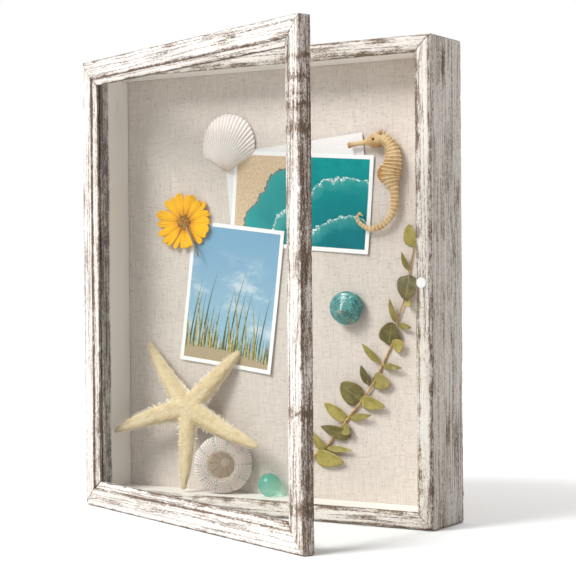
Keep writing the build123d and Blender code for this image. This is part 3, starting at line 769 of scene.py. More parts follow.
# %% Thicken the linen and weave it
edit_all(linen, lambda: bpy.ops.mesh.subdivide(number_cuts=23))
for vertex in linen.data.vertices:
    if abs(vertex.co.y - linen_low.y) < 1e-6:
        pull = noise.noise(Vector((vertex.co.x * 30, 0.0, vertex.co.z * 30)))
        vertex.co.y += 0.10 * MM * (1 + pull)
modified(linen, "SOLIDIFY", thickness=linen_thick * 0.8, offset=-1)

weave, ends, result = new_group(
    "Woven threads",
    [("Place", "Vector", None), ("Light", "Color", (0.85, 0.82, 0.78)), ("Deep", "Color", (0.6, 0.56, 0.5))],
    [("Color", "Color"), ("Height", "Float")],
)
place = ends["Place"]
warp = place.stretched((1500, 900, 90)).clouds(detail=2, roughness=0.55)
weft = place.stretched((90, 900, 1500), (3, 1, 7)).clouds(detail=2, roughness=0.55)
slubs_up = place.stretched((520, 300, 16), (5, 2, 1)).clouds(detail=3)
slubs_across = place.stretched((30, 300, 700), (1, 8, 2)).clouds(detail=2)
slow = place.clouds(22, detail=3)
threads = warp.math("MAXIMUM", weft)
slubs = slubs_up.band(0.5, 0.72).math("MAXIMUM", slubs_across.band(0.58, 0.76, 0.0, 0.5))
gaps = warp.math("MINIMUM", weft)
tone = gaps.band(0.52, 0.33, 0.0, 0.5).mix(ends["Light"], ends["Deep"])
tone = (slubs * 0.22).mix(tone, ends["Deep"])
tone = slow.band(0.35, 0.65, 0.0, 0.16).mix(tone, ends["Deep"])
flecks = place.stretched((330, 300, 150)).cells()
tone = flecks.band(0.19, 0.07, 0.0, 0.5).mix(tone, (0.28, 0.2, 0.14))
put(result["Color"], tone)
put(result["Height"], threads + slubs * 0.3)

linen_cloth, tree, shader = new_material(
    "Natural linen", Roughness=0.92, Specular_IOR_Level=0.15, Sheen_Weight=0.15,
)
linen_tones = {"Light": (0.74, 0.67, 0.61), "Deep": (0.5, 0.43, 0.375)}
layer = grouped(tree, weave, {"Place": place_on(tree), **linen_tones})
feed(shader, layer["Color"], None, layer["Height"], 0.0003, 0.5)
settle(linen, "linen_stretched", linen_cloth, ("linen_cover",), 40)

# %% [markdown]
# ## Cards and prints
#
# Three cards lie one behind the other, each bowed a little so that its corners lift off the linen and
# throw a thin shadow. The prints are made up for this lesson: wave arcs in the colours of a warm sea,
# and dune grass under a summer sky. They are drawn by nodes on each card's own UV map, inside a white
# border. Each blade of grass is one lane of the width, with its own random height.


# %% Define a bowed card and its border
card_thick = 0.28 * MM
card_step = 0.35
card_border = 3.4
border_tone = (0.92, 0.92, 0.91)


def bowed_card(name, size, angle, place, layer, lifts):
    """A card with corner lifts in mm, in the order lower left, lower right, upper left, upper right."""
    width, height = size
    cosine, sine = math.cos(math.radians(angle)), math.sin(math.radians(angle))
    base = card_step * layer + 0.04

    def spot(u, v):
        x, z = (u - 0.5) * width, (v - 0.5) * height
        lift = 0.0
        for share, amount in zip(((1 - u) * (1 - v), u * (1 - v), (1 - u) * v, u * v), lifts):
            lift += amount * share ** 3
        return on_board(place[0] + x * cosine - z * sine, place[1] + x * sine + z * cosine, base + lift)

    piece = pulled_grid(name, 30, 30, spot)
    edit_all(piece, outward)
    modified(piece, "SOLIDIFY", thickness=card_thick, offset=0)
    return piece


def print_base(name, size):
    """A print's material, with its UV in mm and a mask that is 1 inside the white border."""
    material, tree, shader = new_material(name, Roughness=0.5, Specular_IOR_Level=0.2)
    spot = place_on(tree, "UV").stretched((*size, 1))
    across, up, _ = spot.parts()
    inside = 1.0
    for value, length in ((across, size[0]), (up, size[1])):
        middle = abs(value - length / 2)
        inside = inside * middle.math("LESS_THAN", length / 2 - card_border)
    return material, tree, shader, spot, across, up, inside


print("card helpers ready")

# %% Make the blank card, the sea print and the sky print
blank_size = (134.0, 76.0)
sea_size = (134.0, 80.0)
sky_size = (93.0, 121.0)
blank = bowed_card("blank_card_bowed", blank_size, 5.0, (172.8, 255.8), 1, (0.0, 0.0, 0.5, 1.4))
sea = bowed_card("sea_print_bowed", sea_size, -4.3, (177.1, 245.6), 2, (0.0, 1.2, 0.6, 0.8))
sky = bowed_card("sky_print_bowed", sky_size, -7.0, (108.7, 166.6), 3, (1.0, 1.2, 0.0, 0.5))

card_stock, tree, shader = new_material("Card stock", Roughness=0.7, Specular_IOR_Level=0.3)
pulp = place_on(tree).clouds(700, detail=4)
tone = pulp.band(0.3, 0.7).mix((0.79, 0.775, 0.76), (0.84, 0.825, 0.81))
feed(shader, tone, None, pulp, 5e-05)
settle(blank, "blank_card_bowed", card_stock, ("blank_card",), 30)

sea_ink, tree, shader, spot, across, up, inside = print_base("Sea print", sea_size)
wobble = spot.clouds(0.06, detail=4, roughness=0.6)
arc = (abs(across - 114.0) ** 2.0 + (up + 22.0) ** 2.0).math("SQRT")
arc = arc + wobble * 22.0
phase = (arc / 31.0).math("FRACT")
water = arc.band(20.0, 122.0).mix((0.0, 0.13, 0.16), (0.0, 0.31, 0.3))
water = wobble.band(0.42, 0.62, 0.0, 0.5).mix(water, (0.0, 0.19, 0.22))
water = phase.band(0.6, 0.97, 0.0, 0.45).mix(water, (0.1, 0.46, 0.42))
foam_noise = spot.clouds(0.5, detail=5, roughness=0.7)
foam = phase.band(0.9, 0.97) * foam_noise.band(0.44, 0.6)
sand = foam_noise.band(0.35, 0.65).mix((0.6, 0.43, 0.26), (0.74, 0.58, 0.39))
picture = foam.mix(water, (0.92, 0.94, 0.93))
picture = arc.band(117.0, 119.5).mix(picture, (0.12, 0.16, 0.16))
picture = (arc + foam_noise * 6.0).band(122.5, 124.0).mix(picture, sand)
tone = inside.mix(border_tone, picture)
feed(shader, tone, None, foam_noise, 2e-05)
settle(sea, "sea_print_bowed", sea_ink, ("sea_print",), 30)

sky_ink, tree, shader, spot, across, up, inside = print_base("Sky print", sky_size)
air = up.band(20.0, 115.0).mix((0.29, 0.49, 0.61), (0.19, 0.38, 0.55))
puffs = spot.stretched((0.025, 0.045, 1)).clouds(detail=5, roughness=0.6)
puff_mask = puffs.band(0.48, 0.68) * up.band(108.0, 70.0)
picture = (puff_mask * 0.6).mix(air, (0.74, 0.8, 0.82))
rough_edge = spot.clouds(0.35, detail=5, roughness=0.7)
grasses = (
    (3.1, 16.0, 26.0, 74.0, 0.0, (0.05, 0.08, 0.02)),
    (4.3, -20.0, 20.0, 66.0, 9.0, (0.36, 0.30, 0.06)),
    (2.6, 8.0, 14.0, 60.0, 23.0, (0.11, 0.15, 0.04)),
    (3.6, -9.0, 10.0, 48.0, 41.0, (0.45, 0.36, 0.16)),
)
for pitch, lean, shortest, taller_by, start, tint in grasses:
    bend = (up / 100.0) ** 2.0 * lean
    lane = (across - bend + start) / pitch
    blade = lane.then("ShaderNodeTexWhiteNoise", {"W": lane.math("FLOOR")}, "Value", noise_dimensions="1D")
    reach = blade ** 2.0 * taller_by + shortest
    room = 1.0 - up / reach
    from_rib = abs(lane.math("FRACT") - 0.5)
    inside_blade = (room * 0.42 - from_rib).band(0.0, 0.06)
    darker, lighter = tuple(t * 0.6 for t in tint), tuple(t * 1.4 for t in tint)
    mottled = rough_edge.band(0.35, 0.65).mix(darker, lighter)
    picture = inside_blade.mix(picture, mottled)
dune = (across * 0.05).math("SINE") * 3.0 + rough_edge * 9.0
sand_mask = (dune + 7.0 - up).band(0.0, 0.8)
picture = sand_mask.mix(picture, (0.42, 0.33, 0.2))
tone = inside.mix(border_tone, picture)
feed(shader, tone, None, rough_edge, 2e-05)
settle(sky, "sky_print_bowed", sky_ink, ("sky_print",), 30)

# %% [markdown]
# ## Speckle group for knobs and spines
#
# The knobs of an urchin and the spines of a starfish are never one colour: they have soft blotches and
# fine grains. One group gives both, and each use sets its own colours.

# %% Build the speckle group
speckle, ends, result = new_group(
    "Grainy speckle",
    [
        ("Base", "Color", (0.8, 0.7, 0.5)), ("Blotch", "Color", (0.7, 0.6, 0.4)),
        ("Grain", "Color", (0.95, 0.9, 0.8)), ("Amount", "Float", 0.5),
    ],
    [("Color", "Color"), ("Height", "Float")],
)
spot = place_on(speckle)
blotches = spot.clouds(60.0, detail=4)
grains = spot.cells(900.0)
tone = blotches.band(0.38, 0.64).mix(ends["Base"], ends["Blotch"])
dots = grains.band(0.42, 0.18)
put(result["Color"], (dots * ends["Amount"]).mix(tone, ends["Grain"]))
put(result["Height"], dots)


def speckled(name, base, blotch, grain_tone, amount, roughness):
    """A material with the speckle group in it."""
    material, tree, shader = new_material(name, Roughness=roughness)
    inputs = {"Base": base, "Blotch": blotch, "Grain": grain_tone, "Amount": amount}
    layer = grouped(tree, speckle, inputs)
    feed(shader, layer["Color"], None, layer["Height"])
    return material


print("speckle group ready")

# %% [markdown]
# ## Scallop shell
#
# A scallop grows from its beak, so its ribs fan out from one point and its rim is scalloped where they
# end. The grid's one direction runs round the fan and the other from the beak to the rim.

# %% Grow the scallop
scallop_ribs = 25
scallop_spread = math.radians(62)
scallop_beak = (107.0, 273.0)
scallop_circle = 26.8
scallop_drop = 22.5
scallop_dome = 10.2
scallop_tall = 49 * MM


def scallop_spot(u, v):
    """A point on the shell: u runs round the fan and v from the beak to the rim."""
    angle = (u * 2 - 1) * scallop_spread
    rib = math.cos(u * scallop_ribs * math.tau)
    reach = scallop_drop * math.cos(angle)
    reach += math.sqrt(scallop_circle ** 2 - (scallop_drop * math.sin(angle)) ** 2)
    reach += 0.22 * rib - 0.4
    out = reach * v
    side_fall = max(0.0, 1 - (abs(angle) / scallop_spread) ** 3.2) ** 0.5
    dome = scallop_dome * math.sin(math.pi * v ** 0.60) ** 0.85 * side_fall
    ridge = 0.27 * rib * math.sin(math.pi * min(1.0, v * 1.02) ** 1.6 / 2)
    rings = 0.10 * math.sin(v * 46) * v
    return on_board(scallop_beak[0] + out * math.sin(angle), scallop_beak[1] + out * math.cos(angle),
                    1.2 + max(0.0, dome) + ridge + rings)


scallop = pulled_grid("scallop", scallop_ribs * 8, 60, scallop_spot, merge=0.00001)
edit_all(scallop, outward)
ways = [vertex.co - on_board(*scallop_beak) for vertex in scallop.data.vertices]
shares = [(math.atan2(way.x, way.z) / scallop_spread + 1) / 2 for way in ways]
mark(scallop, "rib", [math.cos(share * scallop_ribs * math.tau) for share in shares])
mark(scallop, "grow", [math.hypot(way.x, way.z) / scallop_tall for way in ways])
modified(scallop, "SOLIDIFY", thickness=1.0 * MM, offset=-1)

scallop_skin, tree, shader = new_material("Scallop skin", Roughness=0.45, Coat_Weight=0.1)
rib = attribute(tree, "rib")
grow = attribute(tree, "grow")
# Darker and pinker in the grooves between ribs: the pink is the shell's own tint, the darkening is painted
# shade.
tone = rib.band(-0.4, 0.9).mix((0.76, 0.68, 0.64), (0.92, 0.89, 0.84))
bands = place_on(tree).stretched((40, 40, 160)).clouds(detail=3)
blush = bands.band(0.42, 0.66) * grow.band(0.2, 0.8)
tone = (blush * 0.34).mix(tone, (0.78, 0.66, 0.66))
tone = grow.band(0.24, 0.04).mix(tone, (0.84, 0.68, 0.58))
feed(shader, tone, None, rib, 0.0001)
settle(scallop, "scallop_grown", scallop_skin, ("scallop_shell",))

# %% [markdown]
# ## Flower head
#
# The flower is dried and pressed: notched petals in two loose rings, each cupped along its length and
# bent a little its own way, round a dark eye of short florets. One petal is pulled from a grid with its
# own random bend, so that no two are alike, and the stem lies across them.

# %% Shape the petals, the eye and the stem
random.seed(11)
flower_centre = (61.0, 231.0)
flower_disc = 14 * MM
flower_eye = 6.2
petal_root = 4.0
petal_count = 23
floret_count = 90
golden_angle = 2.39996
petals = []
for index in range(petal_count):
    turn_to = math.tau * index / petal_count + random.uniform(-0.09, 0.09)
    outer = index % 2 == 0
    reach = math.hypot(29.0 * math.cos(turn_to), 25.5 * math.sin(turn_to)) * random.uniform(0.90, 1.0)
    half_width = random.uniform(3.3, 3.9)
    lift = (2.4 if outer else 3.1) + random.uniform(-0.2, 0.3)
    tip_lift = random.uniform(0.2, 2.8)
    curl = random.uniform(-0.9, 1.1)
    cup = random.uniform(-1.0, -0.3)
    sideways = random.uniform(-1.0, 1.0)

    def petal_spot(u, v):
        """A point on this petal: u across it and v from its root to its tip."""
        side = u * 2 - 1
        open_share = min(1.0, v / 0.62)
        width = half_width * (0.34 + 0.66 * open_share * open_share * (3 - 2 * open_share))
        if v > 0.74:
            width *= math.sqrt(max(0.05, 1 - ((v - 0.74) / 0.27) ** 2))
        notch = 0.7 * abs(math.cos(side * math.pi * 1.5)) * max(0.0, v - 0.88) * 8
        out = petal_root + (reach - petal_root) * v - notch
        across_petal = side * width + sideways * v * v
        proud = lift + tip_lift * v * v + cup * side * side * math.sin(math.pi * v)
        proud += curl * side * v + 0.26 * math.cos(side * 10) * v
        x = out * math.cos(turn_to) - across_petal * math.sin(turn_to)
        z = out * math.sin(turn_to) + across_petal * math.cos(turn_to)
        return on_board(flower_centre[0] + x, flower_centre[1] + z, max(0.4, proud))

    petals.append(pulled_grid("petal", 16, 18, petal_spot))
petals.append(added(
    bpy.ops.mesh.primitive_circle_add, vertices=32, radius=flower_disc, fill_type="TRIFAN",
    location=on_board(*flower_centre, 1.7), rotation=(math.pi / 2, 0, 0),
))
flower = joined("petals", petals)
modified(flower, "SOLIDIFY", thickness=0.22 * MM, offset=0)

petal_skin, tree, shader = new_material("Dried petals", Roughness=0.7, Specular_IOR_Level=0.04)
place = place_on(tree)
away = place.away_from(on_board(*flower_centre, 0)).length()
veins = place.stretched((500, 500, 500)).clouds(detail=4, roughness=0.7)
tone = away.band(0.006, 0.016).mix((0.74, 0.3, 0.002), (0.97, 0.51, 0.002))
tone = veins.band(0.45, 0.7, 0.0, 0.4).mix(tone, (0.84, 0.34, 0.002))
feed(shader, tone, None, veins, 0.00015)
settle(flower, "flower_petals", petal_skin, ("flower_head",))

cone = bpy.ops.mesh.primitive_cone_add
floret = added(cone, vertices=7, radius1=0.72 * MM, radius2=0.35 * MM, depth=3.2 * MM)
florets = []
for index in range(floret_count):
    radius = flower_eye * math.sqrt((index + 0.5) / floret_count)
    swirl = index * golden_angle
    x, z = radius * math.cos(swirl), radius * math.sin(swirl)
    proud = 4.4 - 1.0 * (radius / flower_eye) ** 2 + random.uniform(-0.8, 0.8)
    tilt = Matrix.Rotation(math.pi / 2 + random.uniform(-0.5, 0.5), 4, "X")
    florets.append(Matrix.Translation(on_board(flower_centre[0] + x, flower_centre[1] + z, proud)) @ tilt)
eye = repeated("florets", floret, florets)
eye_skin, tree, shader = new_material("Flower eye", Roughness=0.85)
fleck = place_on(tree).clouds(800, detail=2)
away = place_on(tree).away_from(on_board(*flower_centre, 0)).length()
ripe = fleck.band(0.4, 0.6).mix((0.2, 0.07, 0.006), (0.95, 0.5, 0.01))
tone = away.band(0.0024, 0.0044).mix((0.12, 0.05, 0.012), ripe)
feed(shader, tone, None, fleck, 0.0001)
settle(eye, "flower_eye", eye_skin)


def bent_rod(name, points, radius, tip_share=1.0):
    """A round rod along a smooth line through points, thinner towards its end, as a closed mesh."""
    curve = bpy.data.curves.new(name, "CURVE")
    curve.dimensions = "3D"
    curve.bevel_depth = radius
    curve.bevel_resolution = 4
    curve.resolution_u = 8
    curve.use_fill_caps = True
    line = curve.splines.new("BEZIER")
    line.bezier_points.add(len(points) - 1)
    for index, (knot, point) in enumerate(zip(line.bezier_points, points)):
        knot.co = point
        knot.handle_left_type = "AUTO"
        knot.handle_right_type = "AUTO"
        knot.radius = 1 + (tip_share - 1) * index / (len(points) - 1)
    rod = bpy.data.objects.new(name, curve)
    bpy.context.scene.collection.objects.link(rod)
    only(rod)
    bpy.ops.object.convert(target="MESH")
    return bpy.context.object


bark, tree, shader = new_material("Dry stem", Roughness=0.7)
fibres = place_on(tree).stretched((1800, 1800, 260)).clouds(detail=4)
tone = fibres.band(0.35, 0.65).mix((0.17, 0.085, 0.06), (0.4, 0.25, 0.13))
feed(shader, tone, None, fibres, 0.0001)
stem_line = ((62.5, 230, 5.2), (68.5, 222, 6.0), (73.5, 212, 6.6), (79.0, 200.4, 6.9))
flower_stem = bent_rod("flower_stem", [on_board(*point) for point in stem_line], 0.95 * MM, 0.8)
settle(flower_stem, "flower_stem_bent", bark, ("flower_stem",))

# %% [markdown]
# ## Turban shell
#
# A snail's shell is one tube that winds round an axis and grows by the same factor each turn. The grid
# is that tube: one direction runs round it and the other along it, from the mouth to the tip. A small
# stretch fits it to its solid and seats its back on the linen.

# %% Wind the turban shell
turban_axis_turn = Matrix.Rotation(math.radians(10), 4, "X") @ Matrix.Rotation(math.radians(3), 4, "Y")
face_front = Matrix.Rotation(math.pi / 2, 4, "X")
turban_stretch = Matrix.Diagonal((1.10, 1.16, 1.0, 1.0))
turban_seat = on_board(223.2, 157.9, -2.95)
turban_place = Matrix.Translation(turban_seat) @ turban_stretch @ face_front @ turban_axis_turn
turban_turns = 8.0
turban_growth = 0.745
turban_start = math.radians(340)
turban_tall = 19.6
turban_drop = 13.2
turban_tube = 6.7


def turban_spot(u, v):
    """A point on the tube: u round it and v along it."""
    grown = turban_growth ** (v * turban_turns)
    swirl = turban_start + v * turban_turns * math.tau
    round_tube = u * math.tau
    cord = 1 + 0.020 * math.cos(round_tube * 20)
    thick = turban_tube * grown * cord
    mouth_share = min(1.0, v / 0.04)
    thick *= math.sqrt(1 - (1 - mouth_share) ** 2)
    from_axis = (8.2 + 1.1 * mouth_share) * grown + thick * math.cos(round_tube)
    height = max(0.25, turban_tall - turban_drop * grown + thick * 0.84 * math.sin(round_tube))
    return turban_place @ (Vector((from_axis * math.cos(swirl), from_axis * math.sin(swirl), height)) * MM)


turban = pulled_grid("turban", 90, 480, turban_spot, merge=0.000005)
edit_all(turban, outward)
turban_skin, tree, shader = new_material("Turban skin", Roughness=0.36, Coat_Weight=0.35, Coat_Roughness=0.2)
place = place_on(tree)
mottle = place.clouds(210, detail=4, roughness=0.65)
round_uv = place_on(tree, "UV").parts()[0]
cords = (round_uv * (math.tau * 10)).math("COSINE")
tone = mottle.band(0.36, 0.62).mix((0.008, 0.13, 0.14), (0.03, 0.29, 0.29))
tone = cords.band(0.3, 0.95, 0.0, 0.5).mix(tone, (0.2, 0.33, 0.24))
rust = place.clouds(110, detail=3)
tone = rust.band(0.56, 0.72, 0.0, 0.6).mix(tone, (0.33, 0.27, 0.14))
chalk = place.clouds(620, detail=4, roughness=0.7)
flecks = chalk.band(0.56, 0.64) * mottle.band(0.46, 0.6)
tone = flecks.mix(tone, (0.66, 0.74, 0.7))
from_apex = place.away_from(turban_place @ Vector((0, 0, turban_tall * MM))).length()
tone = from_apex.band(0.0032, 0.0008, 0.0, 0.8).mix(tone, (0.55, 0.3, 0.16))
feed(shader, tone, None, chalk, 0.0001)
settle(turban, "turban_wound", turban_skin, ("turban_shell",))

# %% [markdown]
# ## Sea urchin test
#
# The empty shell of a sea urchin is a thin, flattened ball in ten sectors. Rings of white knobs show
# where its spines stood, with a few smaller green ones between them. The mouth faces front and a small
# round vent is behind. The shell is pulled from a grid and solidified, and one knob is modelled and
# repeated along the rings.

# %% Shape the urchin and bead it
urchin_radius, urchin_half = 24.0, 11.5
urchin_turn = math.radians(25)
urchin_proud = math.hypot(urchin_radius * math.sin(urchin_turn), urchin_half * math.cos(urchin_turn)) + 0.3
urchin_place = (
    Matrix.Translation(on_board(107.8, urchin_radius + 1.0, urchin_proud))
    @ face_front
    @ Matrix.Rotation(urchin_turn, 4, "Y")
)
mouth_radius = 11.2
vent_radius = 3.8
mouth_angle = math.asin(mouth_radius / urchin_radius)
vent_angle = math.pi - math.asin(vent_radius / urchin_radius)
knob_rings = 21
knobs_round = 60


def urchin_local(around, down):
    """A point on the shell's outside in mm: around the axis, and down from the mouth's pole."""
    lobes = 1 - 0.008 * math.cos(around * 10) * math.sin(down) ** 2
    lip = max(0.0, 1 - (down - mouth_angle) / 0.22)
    ring = urchin_radius * math.sin(down) * lobes - 0.3 * lip * math.cos(around * 10)
    rise = urchin_half * math.cos(down) - 0.7 * lip * lip
    return Vector((ring * math.cos(around), ring * math.sin(around), rise))


def urchin_spot(u, v):
    """A point on the shell: u round it and v from the mouth to the vent."""
    down = mouth_angle + (vent_angle - mouth_angle) * v
    return urchin_place @ (urchin_local(u * math.tau, down) * MM)


urchin = pulled_grid("urchin", 160, 60, urchin_spot, merge=0.00001)
edit_all(urchin, outward)
modified(urchin, "SOLIDIFY", thickness=1.3 * MM, offset=-1)
white_places = []
green_places = []
for row in range(knob_rings):
    down = mouth_angle + 0.13 + (vent_angle - mouth_angle - 0.3) * row / (knob_rings - 1)
    for column in range(knobs_round):
        shift = 0.1 if row % 2 else -0.1
        around = math.tau * (column + 0.5 + shift) / knobs_round
        green = column % 6 == 0 and row % 2 == 0
        size = (0.62 if green else 0.90) * (0.35 + 0.65 * math.sin(down))
        knob_at = Matrix.Translation(urchin_place @ (urchin_local(around, down) * MM))
        (green_places if green else white_places).append(knob_at @ Matrix.Scale(size, 4))
ball_of_faces = bpy.ops.mesh.primitive_ico_sphere_add
beads = repeated("beads", added(ball_of_faces, subdivisions=1, radius=1 * MM), white_places)
pores = repeated("pores", added(ball_of_faces, subdivisions=1, radius=1 * MM), green_places)

locals_mm = [(urchin_place.inverted() @ vertex.co) / MM for vertex in urchin.data.vertices]
shares_out = [math.hypot(math.hypot(p.x, p.y) / urchin_radius, p.z / urchin_half) for p in locals_mm]
mark(urchin, "sector", [math.cos(math.atan2(p.y, p.x) * 10) for p in locals_mm])
mark(urchin, "within", [1.0 if share < 0.965 else 0.0 for share in shares_out])

urchin_skin, tree, shader = new_material("Urchin shell", Roughness=0.62, Specular_IOR_Level=0.35)
place = place_on(tree)
sector = attribute(tree, "sector")
within = attribute(tree, "within")
wide = place.clouds(90, detail=3)
grit = place.clouds(1400, detail=3, roughness=0.7)
tone = sector.band(-0.6, 0.4).mix((0.92, 0.79, 0.77), (0.85, 0.82, 0.75))
tone = wide.band(0.45, 0.68, 0.0, 0.4).mix(tone, (0.74, 0.7, 0.61))
tone = grit.band(0.45, 0.62, 0.0, 0.2).mix(tone, (0.55, 0.5, 0.46))
inner = sector.band(0.8, 0.98).mix((1.0, 0.95, 0.86), (0.8, 0.73, 0.62))
tone = within.mix(tone, inner)
feed(shader, tone, None, grit, 0.0001)
share_surface(0.74, shader, node(tree, "ShaderNodeBsdfTranslucent", {"Color": tone}))
settle(urchin, "urchin_shell", urchin_skin, ("urchin_test",))
bead_skin = speckled("Urchin beads", (0.97, 0.94, 0.92), (0.95, 0.89, 0.87), (0.98, 0.97, 0.96), 0.3, 0.5)
settle(beads, "urchin_beads", bead_skin)
pore_skin = speckled("Urchin pores", (0.38, 0.40, 0.32), (0.46, 0.46, 0.37), (0.56, 0.55, 0.46), 0.3, 0.6)
settle(pores, "urchin_pores", pore_skin)

# %% [markdown]
# ## Starfish
#
# Five arms, each with a shallow groove along its back, meet in a flattened heart. Arms that are pulled
# from grids and pushed together would show hard seams, so they are joined, remeshed into one skin and
# smoothed. Then the skin gets its granules and a fringe of short spines.

# %% Shape the starfish
star_centre = (72.9, 71.2, 15.0)
star_tips = {
    "foot": ((73.6, 1.6, 25.0), (1.0, 0.0)),
    "left": ((2.9, 49.4, 28.6), (0.0, 2.0)),
    "lower_right": ((150.6, 42.4, 26.0), (1.0, -2.0)),
    "upper_left": ((20.4, 127.4, 1.6), (-2.0, -1.0)),
    "upper_right": ((117.6, 120.7, 2.0), (1.5, 1.0)),
}
star_half_width = 9.0
heart_radius = 11.5 * MM
spine_spacing = 1.8
arm_profile = (
    (0.0, 1.02), (0.15, 0.99), (0.3, 0.90), (0.5, 0.79), (0.7, 0.64), (0.85, 0.46), (0.95, 0.31), (1.0, 0.22),
)


def arm_width(share):
    """The arm's half width in mm at a share of its length."""
    for (low, wide), (high, narrow) in zip(arm_profile, arm_profile[1:]):
        if share <= high:
            return star_half_width * (wide + (narrow - wide) * (share - low) / (high - low))
    return star_half_width * arm_profile[-1][1]


def arm_centre(tip, bow, share):
    """The arm's middle in board millimetres at a share of its length."""
    swing = math.sin(math.pi * share)
    return [
        star_centre[0] + (tip[0] - star_centre[0]) * share + bow[0] * swing,
        star_centre[1] + (tip[1] - star_centre[1]) * share + bow[1] * swing,
        star_centre[2] + (tip[2] - star_centre[2]) * share,
    ]


arms = []
for tip, bow in star_tips.values():
    reach_x, reach_z = tip[0] - star_centre[0], tip[1] - star_centre[1]
    side_x = -reach_z / math.hypot(reach_x, reach_z)
    side_z = reach_x / math.hypot(reach_x, reach_z)

    def arm_spot(u, v):
        """A point on this arm: u round it and v from the heart to the tip."""
        centre = arm_centre(tip, bow, v)
        half = arm_width(v)
        if v > 0.97:
            half *= math.sqrt(max(0.0, 1 - ((v - 0.97) / 0.03) ** 2))
        around = u * math.tau
        sideways = half * math.cos(around)
        rise = half * 0.66 * math.sin(around)
        if rise > 0:
            rise *= 1.06 - 0.16 * math.exp(-((sideways / (0.22 * star_half_width)) ** 2))
        return on_board(centre[0] + side_x * sideways, centre[1] + side_z * sideways, centre[2] + rise)

    arms.append(pulled_grid("arm", 28, 60, arm_spot, merge=0.00001))
for arm in arms:
    edit_all(arm, closed, outward)
ball = bpy.ops.mesh.primitive_uv_sphere_add
heart = added(ball, segments=32, ring_count=16, radius=heart_radius, location=on_board(*star_centre))
heart.scale = (1, 0.52, 1)
applied(heart)
star = joined("star", [heart] + arms)
modified(star, "REMESH", mode="VOXEL", voxel_size=0.9 * MM * coarse, adaptivity=0)
modified(star, "SMOOTH", factor=0.5, iterations=8)
for vertex in star.data.vertices:
    normal = vertex.normal
    grain_here = noise.cell(vertex.co / (1.25 * MM))
    swell = noise.noise(vertex.co / (2.2 * MM))
    vertex.co += normal * (0.34 * grain_here + 0.30 * swell) * MM
    vertex.co.y = min(vertex.co.y, linen_face - 0.06 * MM)
    vertex.co.z = max(vertex.co.z, floor_top + 0.03 * MM)
modified(star, "SMOOTH", factor=0.5, iterations=1)

star_points = np.array([vertex.co for vertex in star.data.vertices])
star_across = (star_points[:, 0] - board_left) / MM
star_up = (star_points[:, 2] - floor_top) / MM
from_middle = np.full(len(star_points), 9.0)
for tip, bow in star_tips.values():
    for share in np.linspace(0.0, 1.0, 60):
        centre = arm_centre(tip, bow, share)
        away = np.hypot(star_across - centre[0], star_up - centre[1]) / arm_width(share)
        from_middle = np.minimum(from_middle, away)
mark(star, "middle", from_middle)

spines = []
random.seed(5)
spine = added(cone, vertices=6, radius1=0.80 * MM, radius2=0.36 * MM, depth=5.4 * MM)
for tip, bow in star_tips.values():
    arm_way = Vector((tip[0] - star_centre[0], 0, tip[1] - star_centre[1]))
    along = arm_way.normalized()
    side_way = Vector((-along.z, 0, along.x))
    count = int(arm_way.length / spine_spacing)
    for index in range(5, count):
        share = index / count
        half = arm_width(share) * random.uniform(0.94, 1.04)
        for side in (-1, 1):
            centre = arm_centre(tip, bow, share)
            spot_on = on_board(*centre) + side_way * side * half * MM
            lean = side_way * side + along * random.uniform(-0.1, 0.8)
            lean.y -= 0.7 * random.random()
            size = (1.35 - 0.9 * share) * random.uniform(0.6, 1.15)
            spines.append(stood(spot_on, lean, size))
fringe = repeated("fringe", spine, spines)

star_skin, tree, shader = new_material("Starfish skin", Roughness=0.75, Specular_IOR_Level=0.25)
place = place_on(tree)
middle = attribute(tree, "middle")
blotch = place.clouds(90, detail=4)
granules = place.cells(850)
tone = blotch.band(0.38, 0.64).mix((0.72, 0.57, 0.33), (0.64, 0.48, 0.25))
# Lighter along each arm's middle line: a painted highlight.
tone = middle.band(0.4, 0.1, 0.0, 0.25).mix(tone, (0.84, 0.74, 0.52))
tone = middle.band(0.78, 1.0, 0.0, 0.7).mix(tone, (0.86, 0.76, 0.55))
tone = granules.band(0.4, 0.16, 0.0, 0.6).mix(tone, (0.9, 0.83, 0.66))
feed(shader, tone, None, granules.band(0.5, 0.1), 0.0006)
settle(star, "starfish_body", star_skin, ("starfish",))
spine_tones = ((0.93, 0.87, 0.72), (0.86, 0.77, 0.57), (0.96, 0.93, 0.84))
fringe_skin = speckled("Starfish spines", *spine_tones, 0.4, 0.7)
settle(fringe, "starfish_fringe", fringe_skin)

# %% [markdown]
# ## Seahorse
#
# A seahorse is armoured with bony rings, each with a ridge and a few knobs, from its neck to the tip of
# its curled tail. The body is one grid wound round its spine, with the rings as waves along it. The head
# with its snout is a second grid, and the crown, fin and eye are added to it.

# %% Shape the seahorse
seahorse_proud = 5.3
spine_marks = [
    (251.5, 293.0, 5.0), (258.5, 292.3, 5.0), (263.3, 288.3, 5.4), (265.9, 282.0, 7.0), (265.9, 273.3, 8.4),
    (264.4, 264.0, 8.8), (265.4, 257.2, 6.6), (267.1, 252.0, 4.1), (267.4, 243.5, 3.7), (266.0, 234.8, 3.3),
    (260.5, 227.2, 2.9), (252.8, 222.3, 2.6), (244.5, 221.3, 2.3), (237.0, 224.8, 1.9), (233.0, 229.6, 1.5),
    (235.2, 233.6, 1.1), (238.2, 231.7, 0.6),
]


